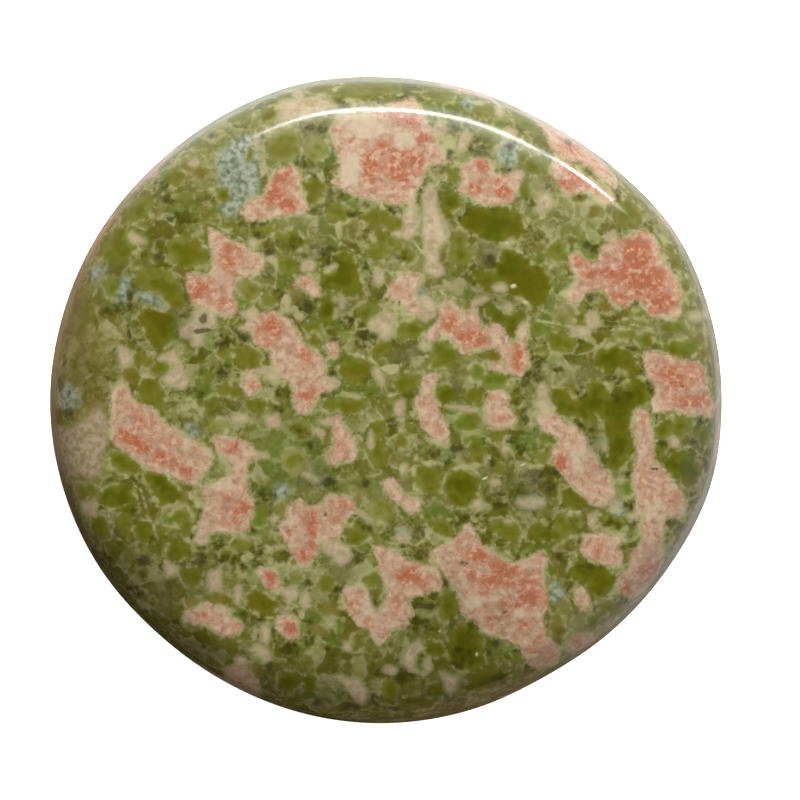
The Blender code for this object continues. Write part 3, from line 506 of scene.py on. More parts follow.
# Small grains as rounded chips: (x, y, half length, half width) and, where it is turned, the degrees
# anticlockwise from +X
DARK_CHIPS = (
    (-9.7, 1.7, 0.4, 0.4), (-9.7, 3.4, 0.6, 0.4), (-3.4, 8.7, 0.5, 0.4), (-5.3, 9.4, 0.45, 0.4),
    (-7.4, 9.8, 0.6, 0.3), (-6.9, 8.9, 0.35, 0.4), (-1.3, 3.6, 0.7, 0.5), (-4.8, 5.5, 0.5, 0.5),
    (-6.4, 6.3, 0.3, 0.3), (-8.5, 3.7, 0.5, 0.4), (-6.2, 0.5, 0.5, 0.4), (-7.0, 1.0, 0.3, 0.4),
    (-3.5, 0.3, 0.6, 0.25), (-3.1, 1.4, 0.3, 0.4), (-0.9, 1.2, 0.3, 0.3), (-2.8, 3.4, 0.3, 0.25),
    (-2.4, 4.7, 0.5, 0.4), (-1.2, 7.8, 0.4, 0.35), (-4.5, -2.7, 0.3, 0.3), (-5.0, -1.9, 0.8, 0.3, -15),
    (-3.9, -4.9, 0.9, 0.25), (-3.3, -5.0, 0.6, 0.4, -20), (-1.2, -4.9, 0.25, 0.3), (-6.3, -0.5, 0.35, 0.3),
    (-9.8, -0.8, 0.4, 0.15), (-7.1, -5.7, 0.7, 0.4, -30), (-8.2, -4.9, 0.2, 0.4), (-4.4, -6.2, 0.3, 0.15),
    (-1.1, -7.4, 0.7, 0.35, -20), (-8.1, -7.8, 0.4, 0.2), (-6.5, -7.6, 0.3, 0.3), (-6.2, -9.3, 0.5, 0.5),
    (-7.6, -9.7, 0.6, 0.25), (-9.7, -8.5, 0.35, 0.3), (-9.6, -9.4, 0.7, 0.4), (-7.6, -8.9, 0.5, 0.4),
    (-2.1, -9.2, 0.2, 0.2), (-1.5, -9.4, 0.4, 0.4), (0.4, -1.3, 0.3, 0.3), (4.3, -2.9, 0.6, 0.3, -10),
    (3.5, -3.5, 0.6, 0.4), (2.9, -3.1, 0.4, 0.3), (6.7, -5.6, 0.35, 0.25), (6.8, -6.2, 0.35, 0.25),
    (4.6, -6.9, 0.5, 0.35), (5.3, -6.8, 0.3, 0.2), (4.1, -7.3, 0.3, 0.3), (7.5, -2.4, 0.3, 0.25),
    (8.1, -2.9, 0.4, 0.4), (8.9, -4.5, 0.6, 0.4), (9.7, -5.2, 0.4, 0.4), (9.8, -4.3, 0.2, 0.4),
    (6.2, -3.8, 0.25, 0.25), (8.3, -1.1, 0.3, 0.6), (7.4, -0.2, 0.4, 0.3), (8.4, -5.6, 0.3, 0.15),
    (5.4, -8.0, 0.75, 0.12, -65), (1.1, -9.2, 0.3, 0.3), (2.1, -9.1, 0.5, 0.3), (2.0, -8.0, 0.5, 0.4),
    (6.2, 8.4, 0.4, 0.4), (8.7, 1.5, 0.6, 0.6), (9.0, 2.3, 0.5, 0.4), (0.9, 8.4, 0.3, 0.3),
    (4.0, 5.3, 0.15, 0.35), (5.4, 15.0, 0.6, 0.3), (4.0, 16.2, 0.4, 0.5), (3.9, 14.5, 0.3, 0.5),
    (3.0, 13.8, 0.5, 0.3), (2.4, 13.0, 0.3, 0.5, -30), (2.2, 12.4, 0.15, 0.5), (4.7, 11.1, 0.65, 0.2, 36),
    (0.6, 11.3, 0.4, 0.3), (7.5, 15.1, 0.3, 0.25), (8.6, 11.7, 0.3, 0.4), (9.8, 12.8, 0.3, 0.4),
    (-2.5, 17.8, 0.4, 0.25), (-4.7, 16.3, 0.4, 0.25), (-3.7, 16.1, 0.3, 0.4), (-5.0, 14.2, 0.4, 0.4),
    (-4.3, 13.7, 0.6, 0.4), (-2.8, 12.4, 0.7, 0.3), (-2.1, 11.1, 0.3, 0.25), (-4.4, 11.0, 0.4, 0.3),
    (-6.4, 10.9, 0.3, 0.15), (-7.8, 10.5, 0.9, 0.25), (-7.5, 15.6, 0.25, 0.3), (12.1, 6.1, 0.25, 0.3),
    (12.9, 4.6, 0.2, 0.4), (12.2, 9.2, 0.5, 0.4, -40), (10.2, 6.3, 0.2, 0.2), (13.9, 0.3, 0.8, 0.4),
    (15.7, 0.8, 0.3, 0.3), (11.6, 0.4, 0.3, 0.4), (13.5, 1.2, 0.6, 0.12), (10.2, 1.9, 0.4, 0.3),
    (12.1, -1.8, 0.2, 0.15), (13.2, -7.3, 0.6, 0.3), (13.9, -7.5, 0.4, 0.25), (14.5, -6.3, 0.35, 0.35),
    (14.2, -4.4, 0.35, 0.4), (18.6, -1.2, 0.4, 0.3), (18.5, -2.6, 0.4, 0.25, -40), (16.4, -2.8, 0.4, 0.4),
    (18.3, -5.8, 0.3, 0.3), (19.1, -4.0, 0.2, 0.3), (14.0, -8.6, 0.3, 0.3), (14.5, -8.1, 0.3, 0.25),
    (14.8, -7.4, 0.2, 0.4), (17.0, -7.2, 0.3, 0.4), (17.6, -7.7, 0.2, 0.3), (11.5, -8.3, 0.2, 0.4),
    (11.2, -7.2, 0.3, 0.3), (10.3, -9.3, 0.4, 0.4), (12.0, -9.9, 0.9, 0.2), (-16.2, 5.3, 0.8, 0.3),
    (-16.0, 5.65, 0.5, 0.25), (-11.5, 0.6, 0.2, 0.2), (-11.1, 0.3, 0.3, 0.3), (-16.5, -4.85, 0.2, 0.3),
    (-16.9, -6.5, 0.35, 0.2), (-15.0, -6.5, 0.3, 0.2), (-10.9, -6.4, 0.2, 0.4), (-11.3, -5.2, 0.2, 0.2),
    (-14.0, -8.2, 0.15, 0.4), (-11.1, -9.4, 0.5, 0.4), (-17.0, -9.6, 0.7, 0.5), (-11.0, -8.8, 0.3, 0.15),
    (-6.1, -10.7, 0.5, 0.15, -60), (-4.6, -11.0, 0.2, 0.4), (-2.7, -11.2, 0.4, 0.2, 30),
    (-8.5, -12.9, 0.2, 0.35), (-7.6, -13.2, 0.5, 0.4), (-5.7, -12.3, 0.3, 0.2), (-6.2, -12.5, 0.2, 0.15),
    (-5.3, -12.5, 0.2, 0.2), (-4.6, -13.1, 0.25, 0.2), (-2.2, -12.7, 0.1, 0.3), (-4.7, -14.3, 0.4, 0.5),
    (-5.7, -14.9, 0.6, 0.5), (-0.6, -16.2, 0.3, 0.15), (-2.7, -17.2, 0.35, 0.25), (-3.9, -18.0, 0.6, 0.15),
    (-2.0, -18.2, 0.6, 0.3), (-0.8, -17.9, 0.6, 0.4), (3.65, -11.0, 0.25, 0.3), (3.5, -10.5, 0.5, 0.12, -50),
    (2.8, -12.3, 0.25, 0.2), (1.6, -13.2, 0.4, 0.4), (2.4, -13.3, 0.3, 0.3), (3.95, -13.2, 0.2, 0.25),
    (5.3, -13.5, 0.45, 0.4), (4.5, -15.4, 0.7, 0.7), (8.4, -15.9, 0.3, 0.15), (6.9, -16.6, 0.6, 0.4),
    (1.2, -16.4, 0.6, 0.5), (3.8, -17.6, 0.3, 0.12), (11.5, 12.3, 0.3, 0.3), (-13.0, 11.9, 0.4, 0.3),
    (-12.4, 10.8, 1.0, 0.4), (-13.5, 12.8, 0.5, 0.35), (13.8, 12.3, 0.25, 0.3), (-8.4, -9.8, 0.3, 0.3),
    (-10.7, 12.0, 0.6, 0.15), (-10.4, 15.8, 0.25, 0.25), (-15.0, -11.5, 0.6, 0.5), (-14.4, -10.4, 0.25, 0.2),
    (11.6, 14.4, 0.25, 0.2), (12.1, 13.7, 0.15, 0.4), (14.3, -12.0, 0.5, 0.2), (12.3, -12.3, 0.25, 0.2),
)
OLIVE_CHIPS = (
    (-8.2, 2.6, 0.9, 0.55), (-9.5, 2.7, 0.5, 0.4), (-2.5, 8.3, 0.7, 0.6), (-2.0, 6.7, 0.6, 0.6),
    (-0.4, 8.9, 0.7, 0.6), (-0.3, 9.7, 0.4, 0.4), (-7.0, 5.9, 0.5, 0.4), (-9.6, 0.6, 0.5, 0.4),
    (-8.8, 0.4, 0.5, 0.4), (-4.3, 3.6, 0.3, 0.4), (-5.9, 9.8, 0.8, 0.3), (-3.2, -0.3, 0.6, 0.4),
    (-7.7, -0.3, 0.6, 0.4), (-2.0, -0.3, 1.0, 0.5), (-8.5, -8.6, 0.8, 0.4), (-1.7, -8.0, 0.8, 0.6),
    (-0.5, -3.2, 0.6, 0.9), (-0.5, -1.7, 0.5, 0.6), (4.7, -4.8, 0.9, 0.8), (4.7, -5.8, 0.9, 0.35),
    (6.6, -2.2, 0.4, 0.3), (9.3, -3.4, 0.5, 0.4), (6.8, -4.1, 0.3, 0.4), (7.5, -8.1, 0.5, 0.3),
    (3.3, -7.5, 0.7, 0.5), (1.0, -2.5, 0.4, 0.4), (0.5, 9.3, 0.5, 0.4), (1.3, 8.5, 0.5, 0.4),
    (5.2, 0.3, 0.6, 0.4), (5.9, 17.3, 0.6, 0.45), (6.2, 15.6, 0.6, 0.5), (4.0, 13.4, 0.4, 0.5),
    (0.4, 10.5, 0.6, 0.6), (8.2, 14.6, 0.3, 0.4), (9.0, 14.0, 0.7, 0.6), (-8.6, 17.0, 0.9, 0.4, 20),
    (-7.0, 17.1, 0.4, 0.4), (-6.0, 18.1, 0.4, 0.2), (-3.9, 18.6, 0.9, 0.3), (-2.0, 17.0, 0.4, 0.25),
    (-0.7, 16.8, 0.6, 0.25), (-4.9, 12.7, 0.3, 0.4), (-9.7, 12.2, 0.4, 0.5), (11.7, 4.9, 0.35, 0.35),
    (14.8, 5.1, 0.5, 0.25), (10.2, 8.8, 0.7, 0.7), (17.9, 6.9, 0.3, 0.5, 25), (10.5, 3.3, 0.8, 0.6),
    (14.3, 3.9, 0.7, 0.3), (17.6, 3.1, 1.4, 0.5, 12), (12.5, 0.6, 0.6, 0.6), (14.9, 1.0, 0.5, 0.4),
    (10.7, 0.5, 0.7, 0.6), (10.5, -7.5, 0.5, 0.9), (16.5, -1.9, 0.4, 0.5), (19.0, -2.1, 0.5, 0.4),
    (-13.3, 2.0, 0.5, 0.3), (-13.1, -5.7, 0.7, 0.6), (-13.0, -7.7, 0.5, 0.2), (-12.2, -6.9, 0.5, 0.5),
    (-7.1, -12.6, 0.6, 0.3), (3.8, -11.9, 0.45, 0.6), (2.8, -14.7, 0.5, 0.4), (7.9, -15.5, 0.4, 0.3),
    (-11.6, -10.5, 0.5, 0.5), (-9.5, -9.2, 0.4, 0.4), (-12.1, -9.0, 0.8, 0.5), (-17.6, -5.4, 0.6, 0.35),
    (-14.7, 11.4, 1.1, 0.6, 40), (-12.6, 13.2, 0.6, 0.5), (14.5, 11.0, 0.9, 0.7), (11.5, 12.0, 0.5, 0.3),
)
LEAF_CHIPS = (
    (-2.4, 3.8, 0.4, 0.35), (-4.3, 4.3, 0.6, 0.4), (-8.8, 5.8, 0.4, 0.4), (-7.4, -6.8, 0.4, 0.5),
    (5.6, -3.2, 0.5, 0.5), (5.1, -2.4, 0.5, 0.4), (4.9, -1.3, 0.8, 0.6), (2.3, -4.6, 0.7, 0.8),
    (5.6, -0.1, 0.5, 0.4), (9.4, -2.4, 0.3, 0.3), (7.2, -7.5, 0.9, 0.5), (6.5, 1.2, 0.8, 0.6),
    (5.4, 1.6, 0.5, 0.6), (9.0, 4.2, 0.5, 0.5), (9.8, 3.8, 0.4, 0.4), (4.9, 10.4, 0.6, 0.4),
    (8.3, 12.5, 0.4, 0.6), (-4.3, 12.4, 0.5, 0.6), (-8.1, 14.6, 0.25, 0.4), (15.4, 3.6, 0.5, 0.4),
    (18.2, 6.1, 0.3, 0.4), (10.3, 4.4, 0.3, 0.2), (14.3, -5.2, 0.35, 0.5), (17.2, 4.4, 0.8, 0.3),
    (-10.6, 1.4, 0.3, 0.3), (-15.7, -3.6, 0.7, 0.6), (-1.0, -10.7, 0.45, 0.4), (-3.6, -10.9, 0.5, 0.6),
    (-7.5, -7.0, 0.5, 0.6), (-12.9, -7.2, 0.6, 0.35), (5.8, -17.5, 0.3, 0.25), (11.5, 12.1, 0.6, 0.3),
    (-16.4, 6.7, 0.4, 0.7), (-10.9, 9.6, 0.4, 0.4), (12.8, -11.2, 0.8, 0.5), (12.3, -13.1, 0.3, 0.4),
    (-11.2, 15.3, 0.6, 0.3),
)
CREAM_CHIPS = (
    (-7.9, 9.3, 0.35, 0.3), (-4.5, 8.0, 0.35, 0.35), (-6.8, 8.4, 0.3, 0.2), (-3.3, 7.8, 0.35, 0.15, 30),
    (-2.6, 5.8, 0.15, 0.4), (-0.4, 7.3, 0.3, 0.5), (-0.4, 4.5, 0.7, 0.5), (0.0, 4.0, 0.4, 0.4),
    (-0.4, 1.4, 0.25, 0.6, 25), (-8.3, 4.3, 0.5, 0.15), (-8.1, 5.1, 0.5, 0.3), (-7.3, 1.7, 0.5, 0.2),
    (-5.9, 5.3, 0.25, 0.15), (-3.2, 1.0, 0.4, 0.35), (-6.7, 1.4, 0.4, 0.3), (-6.7, -1.2, 0.4, 0.3),
    (-7.6, -3.3, 0.6, 0.2), (-8.9, -4.4, 0.6, 0.5), (-8.7, -1.1, 0.5, 0.3), (-2.7, -9.0, 0.6, 0.4),
    (-3.8, -8.3, 0.3, 0.2), (-1.3, -6.9, 0.7, 0.15, -40), (-6.7, -7.1, 0.25, 0.2),
    (-4.4, -4.6, 0.5, 0.2, -30),
    (-4.0, -1.9, 0.35, 0.15, -40), (-3.5, -1.3, 0.5, 0.15), (-0.9, -2.4, 0.15, 0.5), (1.1, -4.1, 0.2, 0.3),
    (9.4, -0.4, 0.4, 0.5), (8.6, -6.1, 0.9, 0.3), (7.3, -7.2, 0.25, 0.15), (1.0, -8.2, 0.4, 0.3),
    (7.1, -2.9, 0.25, 0.3), (6.5, -4.9, 0.3, 0.2), (5.5, -6.2, 0.4, 0.3), (4.5, -0.5, 1.0, 0.12, -8),
    (0.8, -0.5, 0.3, 0.5), (0.9, 9.9, 0.5, 0.15), (7.4, 9.4, 0.3, 0.15, 40), (6.8, 6.7, 0.4, 0.3),
    (7.2, 5.5, 0.4, 0.2), (5.6, 5.9, 0.5, 0.15, 25), (2.4, 5.5, 0.6, 0.8), (2.3, 3.2, 0.4, 0.25),
    (9.3, 0.5, 0.3, 0.5), (4.6, 15.3, 0.6, 0.25, 50), (3.2, 16.1, 0.4, 0.5), (1.5, 10.9, 0.5, 0.9),
    (2.6, 12.0, 0.3, 0.8), (2.6, 10.4, 0.4, 0.3), (9.5, 11.8, 0.5, 0.5), (7.3, 15.9, 0.5, 0.3),
    (6.8, 17.4, 0.25, 0.5), (-5.0, 17.5, 1.6, 0.5), (-4.0, 17.7, 0.5, 0.4), (-5.2, 18.2, 0.3, 0.4),
    (-7.7, 15.3, 0.2, 0.5), (13.4, 9.7, 0.4, 0.25), (11.5, 4.0, 0.5, 0.2), (12.2, 4.7, 0.3, 0.5),
    (18.5, 5.0, 0.5, 0.3), (-15.8, 0.6, 0.5, 0.35), (-12.3, 1.1, 0.6, 0.4), (-14.8, 9.6, 0.6, 0.25, -25),
    (-10.9, -8.4, 0.4, 0.2), (-8.8, -11.6, 0.2, 0.6), (-4.8, -11.9, 0.25, 0.5), (0.3, -16.1, 0.4, 0.2),
    (2.5, -15.8, 0.2, 0.45), (5.2, -12.1, 0.5, 0.5), (14.9, -6.8, 0.5, 0.2, 20), (17.2, -2.5, 0.3, 0.3),
    (13.7, -6.4, 0.3, 0.3), (12.3, -7.2, 0.2, 0.5), (13.0, -2.8, 0.15, 0.3), (17.0, 5.2, 0.5, 0.3),
)

# Soft patches: (x, y, half length along x, half length along y, strength), in millimetres
BRICK_STAINS = (
    (-0.95, 13.7, 0.3, 0.7, 1.0), (0.6, 14.2, 0.3, 0.9, 1.0), (-2.0, 15.5, 0.35, 0.3, 0.8),
    (2.2, 15.7, 0.3, 0.3, 0.8), (1.8, 14.3, 0.35, 0.3, 0.8), (1.1, 13.1, 0.3, 0.3, 0.7),
    (2.0, 13.5, 0.3, 0.2, 0.8), (1.5, 16.6, 0.3, 0.3, 0.7), (0.7, 16.8, 0.3, 0.2, 0.6),
    (-6.2, 13.2, 0.4, 0.3, 0.7), (-6.7, 12.1, 0.4, 0.4, 0.7), (-5.7, 11.7, 0.35, 0.3, 0.6),
    (5.8, 13.9, 0.35, 0.25, 0.7), (5.5, 12.6, 0.4, 0.3, 0.7), (6.8, 12.7, 0.4, 0.4, 0.8),
    (7.0, 12.2, 0.4, 0.3, 0.7), (11.2, 13.2, 0.4, 0.3, 0.7), (11.5, 15.0, 1.0, 0.4, 0.5),
    (-11.2, 6.4, 0.45, 0.4, 1.0), (-9.4, 8.6, 0.45, 0.8, 0.8), (-9.6, 5.8, 0.5, 0.3, 0.6),
    (-10.8, 6.9, 0.8, 0.5, 0.5), (-6.9, 4.5, 0.5, 0.35, 0.9), (-6.5, 4.1, 0.4, 0.4, 0.9),
    (-4.8, 2.7, 0.35, 0.35, 0.8), (-4.7, 0.3, 0.5, 0.4, 0.9), (-7.2, 3.6, 0.4, 0.3, 0.5),
    (0.7, 6.6, 0.35, 0.3, 0.6), (-4.6, 6.9, 0.4, 0.2, 0.4), (-8.0, 0.9, 0.3, 0.3, 0.5),
    (3.8, 4.6, 0.4, 0.4, 1.0), (4.8, 3.8, 0.7, 0.45, 1.0), (5.6, 3.6, 0.4, 0.3, 0.9),
    (7.9, 2.7, 0.35, 0.5, 1.0), (7.9, 2.0, 0.3, 0.3, 0.8), (3.2, -1.9, 0.3, 0.3, 0.5),
    (6.9, -1.1, 0.35, 0.25, 0.5), (15.0, 9.0, 0.7, 0.6, 1.3), (14.6, 8.7, 0.35, 0.3, 0.8),
    (15.4, 7.1, 0.55, 0.6, 1.3), (16.5, 5.8, 0.6, 0.35, 1.1), (12.2, 7.4, 0.3, 0.35, 0.8),
    (13.1, 7.6, 0.4, 0.2, 0.9), (11.4, 8.2, 0.35, 0.3, 0.7), (13.8, 6.1, 0.3, 0.2, 0.7),
    (14.3, 7.5, 0.8, 0.5, 0.6), (17.1, 1.5, 0.6, 0.5, 0.8), (18.7, 1.5, 0.45, 0.4, 0.6),
    (17.9, -0.1, 0.4, 0.3, 0.9), (18.7, 0.0, 0.5, 0.3, 0.8), (-15.4, -2.2, 0.6, 0.35, 1.1),
    (-14.7, -1.1, 0.3, 0.5, 0.9), (-13.2, -3.6, 0.6, 0.4, 0.7), (-11.8, -4.4, 0.35, 0.4, 0.7),
    (-12.7, -2.6, 0.5, 0.3, 0.4), (-14.2, -2.9, 0.8, 0.3, 0.5), (-9.2, -2.7, 0.4, 0.3, 0.9),
    (-9.5, -5.7, 0.4, 0.3, 0.7), (-8.5, -6.4, 0.35, 0.35, 0.7), (-9.4, -7.3, 0.4, 0.3, 0.6),
    (-9.3, -6.6, 0.4, 0.25, 0.5), (-2.6, -2.5, 0.4, 0.5, 0.4), (-4.4, -7.5, 0.35, 0.9, 0.9),
    (-5.8, -7.9, 0.15, 0.35, 0.8), (-4.9, -9.2, 0.4, 0.35, 1.0), (-2.7, -6.3, 0.4, 0.3, 0.8),
    (-3.1, -7.0, 0.4, 0.3, 0.5), (1.3, -10.4, 0.5, 0.35, 0.8), (0.5, -12.1, 0.4, 0.3, 0.8),
    (2.0, -10.9, 0.5, 0.4, 0.5), (5.6, -9.2, 0.7, 0.4, 0.7), (6.8, -9.9, 0.45, 0.4, 0.8),
    (5.1, -10.4, 0.35, 0.35, 0.8), (8.8, -11.8, 0.6, 0.5, 1.2), (6.2, -13.1, 0.3, 0.4, 0.6),
    (6.3, -10.9, 0.4, 0.4, 0.6), (8.0, -10.6, 0.5, 0.4, 0.5), (8.0, -11.8, 0.3, 0.25, 0.8),
    (7.4, -12.2, 0.4, 0.3, 0.6), (8.9, -15.0, 0.25, 0.15, 0.7), (10.5, -3.7, 0.4, 0.5, 0.9),
    (12.0, -4.7, 0.4, 0.3, 0.4), (11.6, -2.5, 0.3, 0.3, 0.5), (16.7, -5.7, 0.8, 0.5, 0.5),
    (15.3, -4.4, 0.4, 0.5, 0.4), (16.1, -7.7, 0.25, 0.2, 0.6), (15.3, -1.2, 0.25, 0.3, 0.4),
    (12.8, -9.0, 0.45, 0.35, 0.8), (14.2, -11.3, 0.3, 0.5, 1.0), (15.8, -10.2, 0.5, 0.5, 0.5),
    (11.5, -14.5, 0.25, 0.4, 0.7), (-9.0, -13.5, 0.4, 0.3, 0.8), (-10.9, -12.9, 0.6, 0.3, 0.5),
    (-6.85, -10.6, 0.35, 0.45, 1.1), (-5.7, -13.6, 0.35, 0.35, 1.1), (-2.0, -12.0, 0.5, 0.3, 0.4),
    (-1.4, -13.1, 0.4, 0.3, 0.5), (5.7, 14.0, 0.4, 0.4, 0.5), (6.8, 12.8, 0.5, 0.5, 0.5),
    (5.2, 12.6, 0.5, 0.4, 0.5), (-6.1, 13.4, 0.5, 0.35, 0.5), (-6.7, 12.3, 0.4, 0.5, 0.5),
    (-5.8, 11.8, 0.6, 0.3, 0.5), (16.3, 7.2, 0.4, 0.5, 0.8), (-1.3, 14.4, 0.4, 0.4, 0.8),
    (-0.3, 15.0, 0.3, 0.4, 0.9), (-8.6, -6.5, 0.6, 0.5, 0.5), (-14.6, -2.7, 0.5, 0.3, 0.8),
    (-12.4, -4.0, 0.4, 0.3, 0.6), (-11.3, -3.0, 0.3, 0.2, 0.6), (7.0, -10.4, 0.5, 0.4, 0.6),
    (8.2, -10.6, 0.5, 0.4, 0.5), (5.8, -10.7, 0.3, 0.3, 0.4), (8.1, -13.4, 0.5, 0.3, 0.5),
    (1.5, -10.6, 0.7, 0.3, 0.7), (1.0, -11.3, 0.4, 0.4, 0.5), (-13.2, -3.4, 0.4, 0.3, 0.6),
    (14.6, 7.6, 2.2, 1.5, 0.3), (16.2, 6.2, 1.2, 0.9, 0.25), (0.2, 13.9, 1.2, 0.9, 0.55),
    (1.4, 15.0, 0.7, 1.0, 0.4), (17.0, 0.9, 1.3, 1.0, 0.35), (-6.4, 12.5, 1.0, 1.0, 0.3),
    (6.9, -10.8, 2.2, 1.6, 0.25), (-14.8, -2.2, 1.2, 0.7, 0.2), (11.4, 12.8, 1.2, 1.0, 0.5),
    (14.2, 5.9, 1.2, 0.6, 0.4),
)
DARK_SPECKS = (
    (10.9, 15.4, 0.3, 0.25, 1.0), (4.6, -9.7, 0.3, 0.2, 1.0), (4.2, -9.4, 0.3, 0.15, 0.6),
    (7.1, -12.6, 0.22, 0.12, 1.0), (7.1, -11.0, 0.15, 0.1, 0.6), (17.6, 0.75, 0.12, 0.12, 1.0),
    (16.2, 2.1, 0.2, 0.2, 0.6), (15.95, -4.1, 0.3, 0.1, 1.0), (0.8, 5.8, 0.1, 0.25, 0.8),
    (-4.85, 6.5, 0.12, 0.4, 0.8), (14.9, 5.7, 0.2, 0.3, 1.0), (12.1, 6.1, 0.2, 0.3, 0.9),
    (-3.6, -6.8, 0.12, 0.3, 0.8), (-6.7, -13.8, 0.2, 0.4, 1.0), (14.2, -9.4, 0.12, 0.5, 0.8),
    (14.0, -8.8, 0.3, 0.15, 0.9), (11.5, -1.5, 0.35, 0.18, 1.0), (-0.6, -12.1, 0.18, 0.4, 0.7),
    (-9.4, 13.6, 0.18, 0.18, 0.9), (-9.35, 15.2, 0.15, 0.15, 0.9), (-8.4, 16.3, 0.15, 0.15, 0.9),
    (7.4, 15.1, 0.25, 0.3, 1.0), (7.35, 13.7, 0.15, 0.15, 0.9), (4.9, 17.55, 0.2, 0.2, 0.9),
    (-10.4, 15.8, 0.2, 0.2, 0.9), (-10.4, 12.0, 0.35, 0.1, 0.9), (-15.3, 6.3, 0.2, 0.3, 1.0),
    (-15.2, 5.5, 0.2, 0.35, 0.9), (-15.3, 3.9, 0.15, 0.4, 0.9), (-15.0, 3.4, 0.2, 0.2, 0.8),
    (-13.5, 8.5, 0.35, 0.25, 1.0), (-12.0, 5.0, 0.4, 0.15, 0.9), (-10.85, 4.85, 0.26, 0.32, 1.2),
    (-10.95, 4.1, 0.6, 0.14, 1.3), (-8.4, 3.7, 0.4, 0.3, 0.9), (-6.9, 8.8, 0.35, 0.25, 0.8),
    (-3.4, 8.2, 0.15, 0.25, 0.9), (-3.8, 8.8, 0.5, 0.35, 0.6), (-4.6, 5.5, 0.35, 0.4, 1.0),
    (-3.0, 3.6, 0.3, 0.15, 0.9), (-1.2, 3.9, 0.6, 0.3, 0.8), (-6.2, 1.2, 0.15, 0.12, 0.9),
    (-5.9, 0.8, 0.12, 0.2, 0.7), (-4.5, -2.7, 0.3, 0.35, 0.8), (-3.4, -4.8, 0.35, 0.25, 1.0),
    (-1.2, -5.0, 0.25, 0.3, 0.8), (0.4, -1.3, 0.2, 0.25, 0.7), (1.05, -8.65, 0.18, 0.18, 1.1),
    (1.0, -9.25, 0.3, 0.12, 0.8), (4.2, -2.9, 0.45, 0.2, 0.9), (4.1, -3.4, 0.15, 0.15, 0.8),
    (2.0, -12.2, 0.45, 0.25, 1.0), (2.7, -12.3, 0.25, 0.2, 0.9), (4.35, -12.6, 0.12, 0.3, 0.8),
    (6.6, -14.5, 0.45, 0.25, 1.0), (7.8, -14.95, 0.4, 0.12, 1.0), (6.1, -15.1, 0.15, 0.3, 0.9),
    (7.5, -2.5, 0.35, 0.2, 0.9), (9.3, -4.3, 0.5, 0.25, 0.8), (8.9, -4.9, 0.3, 0.2, 0.7),
    (9.8, -5.3, 0.25, 0.25, 0.9), (6.8, -5.6, 0.35, 0.15, 0.9), (6.7, -6.2, 0.2, 0.15, 0.9),
    (8.0, -0.8, 0.25, 0.15, 0.7), (6.3, 1.7, 0.18, 0.12, 0.8), (6.2, 8.4, 0.25, 0.3, 0.9),
    (5.6, 8.9, 0.15, 0.4, 0.7), (8.35, 9.1, 0.15, 0.35, 0.6), (12.0, 9.2, 0.35, 0.25, 0.8),
    (14.4, 3.1, 0.22, 0.1, 1.0), (14.8, 3.0, 0.2, 0.15, 1.0), (13.7, 1.0, 0.3, 0.1, 1.0),
    (13.2, 1.4, 0.3, 0.1, 0.8), (16.2, 3.7, 0.15, 0.15, 0.7), (15.7, 0.8, 0.2, 0.1, 0.7),
    (16.1, -1.3, 0.12, 0.4, 0.9), (18.3, -2.5, 0.45, 0.15, 0.9), (10.3, -4.3, 0.3, 0.15, 0.9),
    (10.7, -4.9, 0.3, 0.15, 0.8), (10.3, -9.3, 0.25, 0.3, 0.9), (14.8, -7.3, 0.2, 0.35, 0.8),
    (14.1, -6.4, 0.2, 0.15, 0.7), (17.5, -7.6, 0.2, 0.3, 0.7), (16.9, -7.0, 0.25, 0.12, 0.7),
    (12.3, -13.2, 0.2, 0.15, 0.7), (11.3, -12.6, 0.2, 0.15, 0.7), (-14.4, -9.6, 0.45, 0.35, 1.1),
    (-13.0, -11.0, 0.15, 0.4, 0.8), (-12.5, -13.2, 0.4, 0.2, 0.9), (-7.6, -14.2, 0.12, 0.3, 0.9),
    (-6.9, -15.9, 0.25, 0.35, 1.1), (-3.5, -14.8, 0.25, 0.15, 0.9), (-3.1, -15.2, 0.2, 0.12, 1.0),
    (-2.0, -15.8, 0.2, 0.2, 0.6), (4.9, -7.0, 0.4, 0.2, 0.8), (13.1, 6.0, 0.2, 0.35, 0.5),
    (-18.9, -0.8, 0.3, 0.4, 1.1), (-19.4, 0.9, 0.2, 0.4, 1.2), (-19.2, 2.2, 0.2, 0.5, 0.8),
    (-18.9, 0.4, 0.15, 0.25, 0.9),
    (0.9, -16.6, 0.5, 0.35, 0.8), (0.5, -18.4, 0.3, 0.15, 1.0), (-10.9, -9.3, 0.35, 0.4, 0.7),
)
